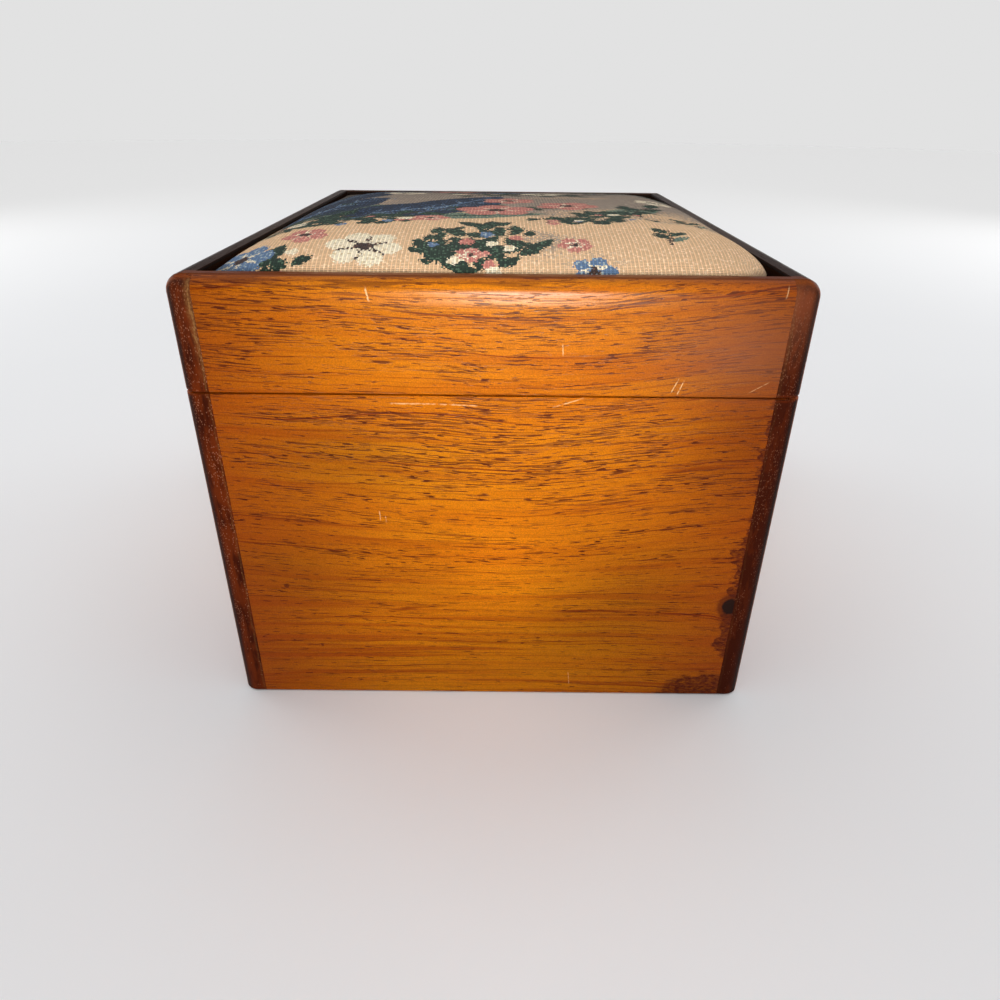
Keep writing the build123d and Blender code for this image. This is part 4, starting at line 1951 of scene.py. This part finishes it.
@cache
def box_woods() -> dict[str, bpy.types.Material]:
    """Return the four boards' materials by side, which the body and the lid share.

    Returns:
        The materials, by side.
    """
    front = VarnishedWood(
        "front_wood",
        Grain.ACROSS,
        seed=0.0,
        sweep_mm=5.6,
        # Painted shade and dark reflection on the front rail's top.
        film=Stain.FRONT_TOP_SHADE,
        top_shade_share=0.92,
        pore_bands=(
            Patch(-14.0, 112.0, 60.0, 6.5, 0.62),
            Patch(-14.0, 85.0, 46.0, 8.0, 0.70),
            Patch(16.0, 86.0, 24.0, 12.0, 0.55),
            Patch(46.0, 72.0, 34.0, 14.0, 0.34),
            Patch(46.0, 112.0, 34.0, 9.0, 0.42),
            Patch(-62.0, 112.0, 12.0, 8.0, 0.45),
        ),
        knots=(
            Patch(68.0, 33.5, 3.6, 4.2, 1.0),
            Patch(-57.7, 39.3, 0.9, 1.0, 0.62),
            Patch(-49.9, 18.2, 0.7, 0.8, 0.55),
        ),
        stains=(
            Patch(71.2, 50.0, 5.0, 15.0, 1.0),
            Patch(70.6, 24.0, 5.0, 11.0, 1.0),
            Patch(64.5, -2.5, 15.0, 11.0, 1.0),
            Patch(71.2, 84.0, 3.4, 22.0, 0.8),
        ),
        haze=(Patch(60.0, 108.0, 20.0, 11.0, 0.62),),
        # Patches of painted light and shade on the front, mixed with the wood's own tone.
        tone_and_light_patches=(
            Patch(-38.0, 80.0, 20.0, 12.0, 0.28),
            Patch(-52.0, 45.0, 18.0, 20.0, 0.20),
            Patch(40.0, 40.0, 16.0, 16.0, 0.22),
            Patch(2.0, 46.0, 13.0, 20.0, -0.25),
            Patch(-30.0, 2.0, 44.0, 11.0, -0.10),
            Patch(-34.0, 26.0, 26.0, 10.0, -0.20),
            Patch(26.0, 24.0, 18.0, 12.0, 0.16),
            Patch(62.0, 84.0, 14.0, 18.0, 0.24),
            Patch(74.0, 108.0, 13.0, 14.0, 0.26),
        ),
        scratches=(
            Scratch(43.2, 97.4, 1.6, 3.6, 0.20, 0.75),
            Scratch(44.8, 97.0, 1.3, 3.6, 0.20, 0.75),
            Scratch(-29.2, 122.0, 0.8, -3.2, 0.28, 0.9),
            Scratch(16.4, 109.4, 0.3, -2.8, 0.20, 0.7),
            Scratch(62.0, 97.6, 4.6, 2.8, 0.16, 0.4),
            Scratch(-25.0, 94.1, 11.0, -0.05, 0.26, 0.65),
            Scratch(-13.4, 94.0, 9.6, -0.3, 0.24, 0.6),
            Scratch(14.8, 93.5, 7.4, 2.4, 0.22, 0.7),
            Scratch(-29.9, 63.8, 0.1, -2.8, 0.2, 0.7),
            Scratch(-28.4, 62.3, 0.1, -1.9, 0.2, 0.6),
            Scratch(23.1, 8.6, 0.5, -4.8, 0.16, 0.4),
            Scratch(67.4, 123.0, -0.6, -2.6, 0.2, 0.5),
        ),
    )
    back = VarnishedWood("back_wood", Grain.ACROSS, seed=310.0, tone=0.05)
    left = VarnishedWood("left_wood", Grain.DEEP, seed=640.0, shine=0.03)
    right = VarnishedWood("right_wood", Grain.DEEP, seed=910.0, end_tone=0.75, shine=0.03)
    woods = (front, back, left, right)
    return {side: wood.material() for side, wood in zip(SIDES, woods)}


# ------------------------------------------------------------------ studio


class Ground(Enum):
    """Colours of the floor: two that cloud it near the box, and white far off."""

    NEAR = paint(237, 238, 240)
    NEAR_LIGHT = paint(242, 243, 245)
    FAR = paint(255, 255, 255)


@dataclass
class Studio:
    """The pale floor, the soft lamps and the camera.

    Attributes:
        floor_radius: The round floor's radius, in metres.
        camera_place: Where the camera stands, in metres.
        camera_pitch: How far the camera looks down.
        camera_roll: How far the camera leans to the side.
        lens_mm: The lens.
        sensor_mm: Width of the film behind the lens.
        air: How bright the air is, by its height up the sky from 0 to 1.
        backdrop: How bright the air looks to the camera.
        floor_fades_mm: From where to where the floor turns white.
    """

    floor_radius: float = 4.0
    camera_place: tuple[float, float, float] = (0.00204, -0.26459, 0.15822)
    camera_pitch: float = math.radians(28.585)
    camera_roll: float = math.radians(0.575)
    lens_mm: float = 25.992
    sensor_mm: float = 36.0
    air: tuple[tuple[float, float], ...] = (
        (0.0, 0.85),
        (0.10, 0.85),
        (0.15, 0.05),
        (0.50, 0.05),
        (0.80, 1.30),
        (1.0, 1.30),
    )
    backdrop: float = 0.76
    floor_fades_mm: tuple[float, float] = (300.0, 1500.0)

    def build(self) -> None:
        """Set the whole studio up."""
        self.floor()
        self.sky()
        self.lamps()
        self.camera()
        bpy.context.scene.view_settings.view_transform = "Standard"

    def floor(self) -> None:
        """Add the round pale floor that the box stands on."""
        deselect_all()
        bpy.ops.mesh.primitive_circle_add(
            vertices=96, radius=self.floor_radius, fill_type="NGON", location=(0.0, 0.0, 0.0)
        )
        ground = bpy.context.object
        ground.name = "studio_floor"
        recipe = Recipe("pale_floor")
        x, y, _ = recipe.place_mm()
        cloud = recipe.noise(recipe.point(x / 300.0, y / 300.0), 2.0)
        colour = recipe.mix(cloud, Ground.NEAR.value, Ground.NEAR_LIGHT.value)
        away = ((x * x + y * y) ** 0.5).rise(*self.floor_fades_mm)
        colour = recipe.mix(away, colour, Ground.FAR.value)
        ground.data.materials.append(recipe.finish(Base_Color=colour, Roughness=0.9))

    def sky(self) -> None:
        """Light the air: a bright dome overhead, a dim belt and a pale horizon.

        The camera sees an even backdrop instead; only the box feels the belt and the dome.
        """
        world = bpy.data.worlds.new("studio_air")
        world.use_nodes = True
        tree = world.node_tree
        way = tree.nodes.new("ShaderNodeTexCoord")
        parts = tree.nodes.new("ShaderNodeSeparateXYZ")
        ramp = tree.nodes.new("ShaderNodeValToRGB")
        tree.links.new(way.outputs["Generated"], parts.inputs[0])
        tree.links.new(parts.outputs["Z"], ramp.inputs["Fac"])
        seen = tree.nodes.new("ShaderNodeLightPath")
        shown = tree.nodes.new("ShaderNodeMix")
        shown.data_type = "RGBA"
        tree.links.new(seen.outputs["Is Camera Ray"], shown.inputs[MIX_SHARE])
        tree.links.new(ramp.outputs["Color"], shown.inputs[MIX_UNDER])
        shown.inputs[MIX_OVER].default_value = grey(self.backdrop)
        tree.links.new(shown.outputs[MIX_RESULT], tree.nodes["Background"].inputs["Color"])
        for _ in self.air[2:]:
            ramp.color_ramp.elements.new(0.5)
        for element, (height, level) in zip(ramp.color_ramp.elements, self.air):
            element.position = height
            element.color = grey(level)
        bpy.context.scene.world = world

    def lamps(self) -> None:
        """Hang the lamps: a soft spot on the front, its glint on the varnish and two fills."""
        self.spot(
            "key",
            place=(0.0, -0.262, 0.150),
            target=(0.0, -0.098, 0.098),
            radius=0.024,
            cone_degrees=66.0,
            watts=1.0,
        )
        glint = self.spot(
            "glint",
            place=(0.014, -0.262, 0.150),
            target=(0.01, -0.098, 0.124),
            radius=0.034,
            cone_degrees=58.0,
            watts=7.0,
        )
        glint.data.color = (1.0, 0.90, 0.72)
        glint.visible_diffuse = False
        for name, place in (("left_fill", (-1.0, 0.5, 0.5)), ("right_fill", (1.0, 0.6, 0.5))):
            self.lamp(name, place, target=(0.0, 0.0, 0.05), size=(0.6, 0.6), watts=2.0)

    def spot(
        self,
        name: str,
        place: tuple[float, float, float],
        target: tuple[float, float, float],
        radius: float,
        cone_degrees: float,
        watts: float,
    ) -> bpy.types.Object:
        """Hang one round spot whose light dies away toward the rim of its cone.

        Args:
            name: The lamp's name.
            place: Where it hangs, in metres.
            target: Where it points, in metres.
            radius: Radius of its disc, in metres.
            cone_degrees: The whole angle of its cone.
            watts: Its power.

        Returns:
            The lamp.
        """
        data = bpy.data.lights.new(name, "SPOT")
        data.shadow_soft_size = radius
        data.spot_size = math.radians(cone_degrees)
        data.spot_blend = 1.0
        data.energy = watts
        return self.hang(name, data, place, target)

    def lamp(
        self,
        name: str,
        place: tuple[float, float, float],
        target: tuple[float, float, float],
        size: tuple[float, float],
        watts: float,
    ) -> None:
        """Hang one soft rectangular lamp that points at a target.

        Args:
            name: The lamp's name.
            place: Where it hangs, in metres.
            target: Where it points, in metres.
            size: Its width and height, in metres.
            watts: Its power.
        """
        data = bpy.data.lights.new(name, "AREA")
        data.shape = "RECTANGLE"
        data.size, data.size_y = size
        data.energy = watts
        self.hang(name, data, place, target)

    def hang(
        self,
        name: str,
        data: bpy.types.Light,
        place: tuple[float, float, float],
        target: tuple[float, float, float],
    ) -> bpy.types.Object:
        """Add a lamp to the scene, pointing at its target and unseen by the camera.

        Args:
            name: The lamp's name.
            data: The light in the lamp.
            place: Where it hangs, in metres.
            target: Where it points, in metres.

        Returns:
            The lamp.
        """
        lamp = bpy.data.objects.new(name, data)
        bpy.context.scene.collection.objects.link(lamp)
        lamp.location = place
        lamp.rotation_euler = (Vector(target) - Vector(place)).to_track_quat("-Z", "Y").to_euler()
        lamp.visible_camera = False
        return lamp

    def camera(self) -> None:
        """Add the camera, close in front of the box and looking down on it."""
        data = bpy.data.cameras.new("camera")
        data.lens, data.sensor_width = self.lens_mm, self.sensor_mm
        data.clip_start, data.clip_end = 0.01, 20.0
        camera = bpy.data.objects.new("camera", data)
        bpy.context.scene.collection.objects.link(camera)
        tilt = Matrix.Rotation(math.pi / 2 - self.camera_pitch, 4, "X")
        roll = Matrix.Rotation(self.camera_roll, 4, "Z")
        camera.matrix_world = Matrix.Translation(self.camera_place) @ tilt @ roll
        bpy.context.scene.camera = camera


def write_sizes() -> None:
    """Bring the view layer up to date.
    """
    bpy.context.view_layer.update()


def main() -> None:
    """Build the studio and every sub-assembly in order."""
    logging.basicConfig(level=logging.INFO, format="%(name)s: %(message)s")
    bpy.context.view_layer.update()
    Studio().build()
    for assembly in (Case(), LidFrame(), ButtHinge("left"), ButtHinge("right")):
        for piece in assembly.build():
            log.info("dressed %s", piece.name)
    cover = WovenCover().build()
    log.info("built %s with %d faces", cover.name, len(cover.data.polygons))
    write_sizes()


if __name__ == "__main__":
    main()
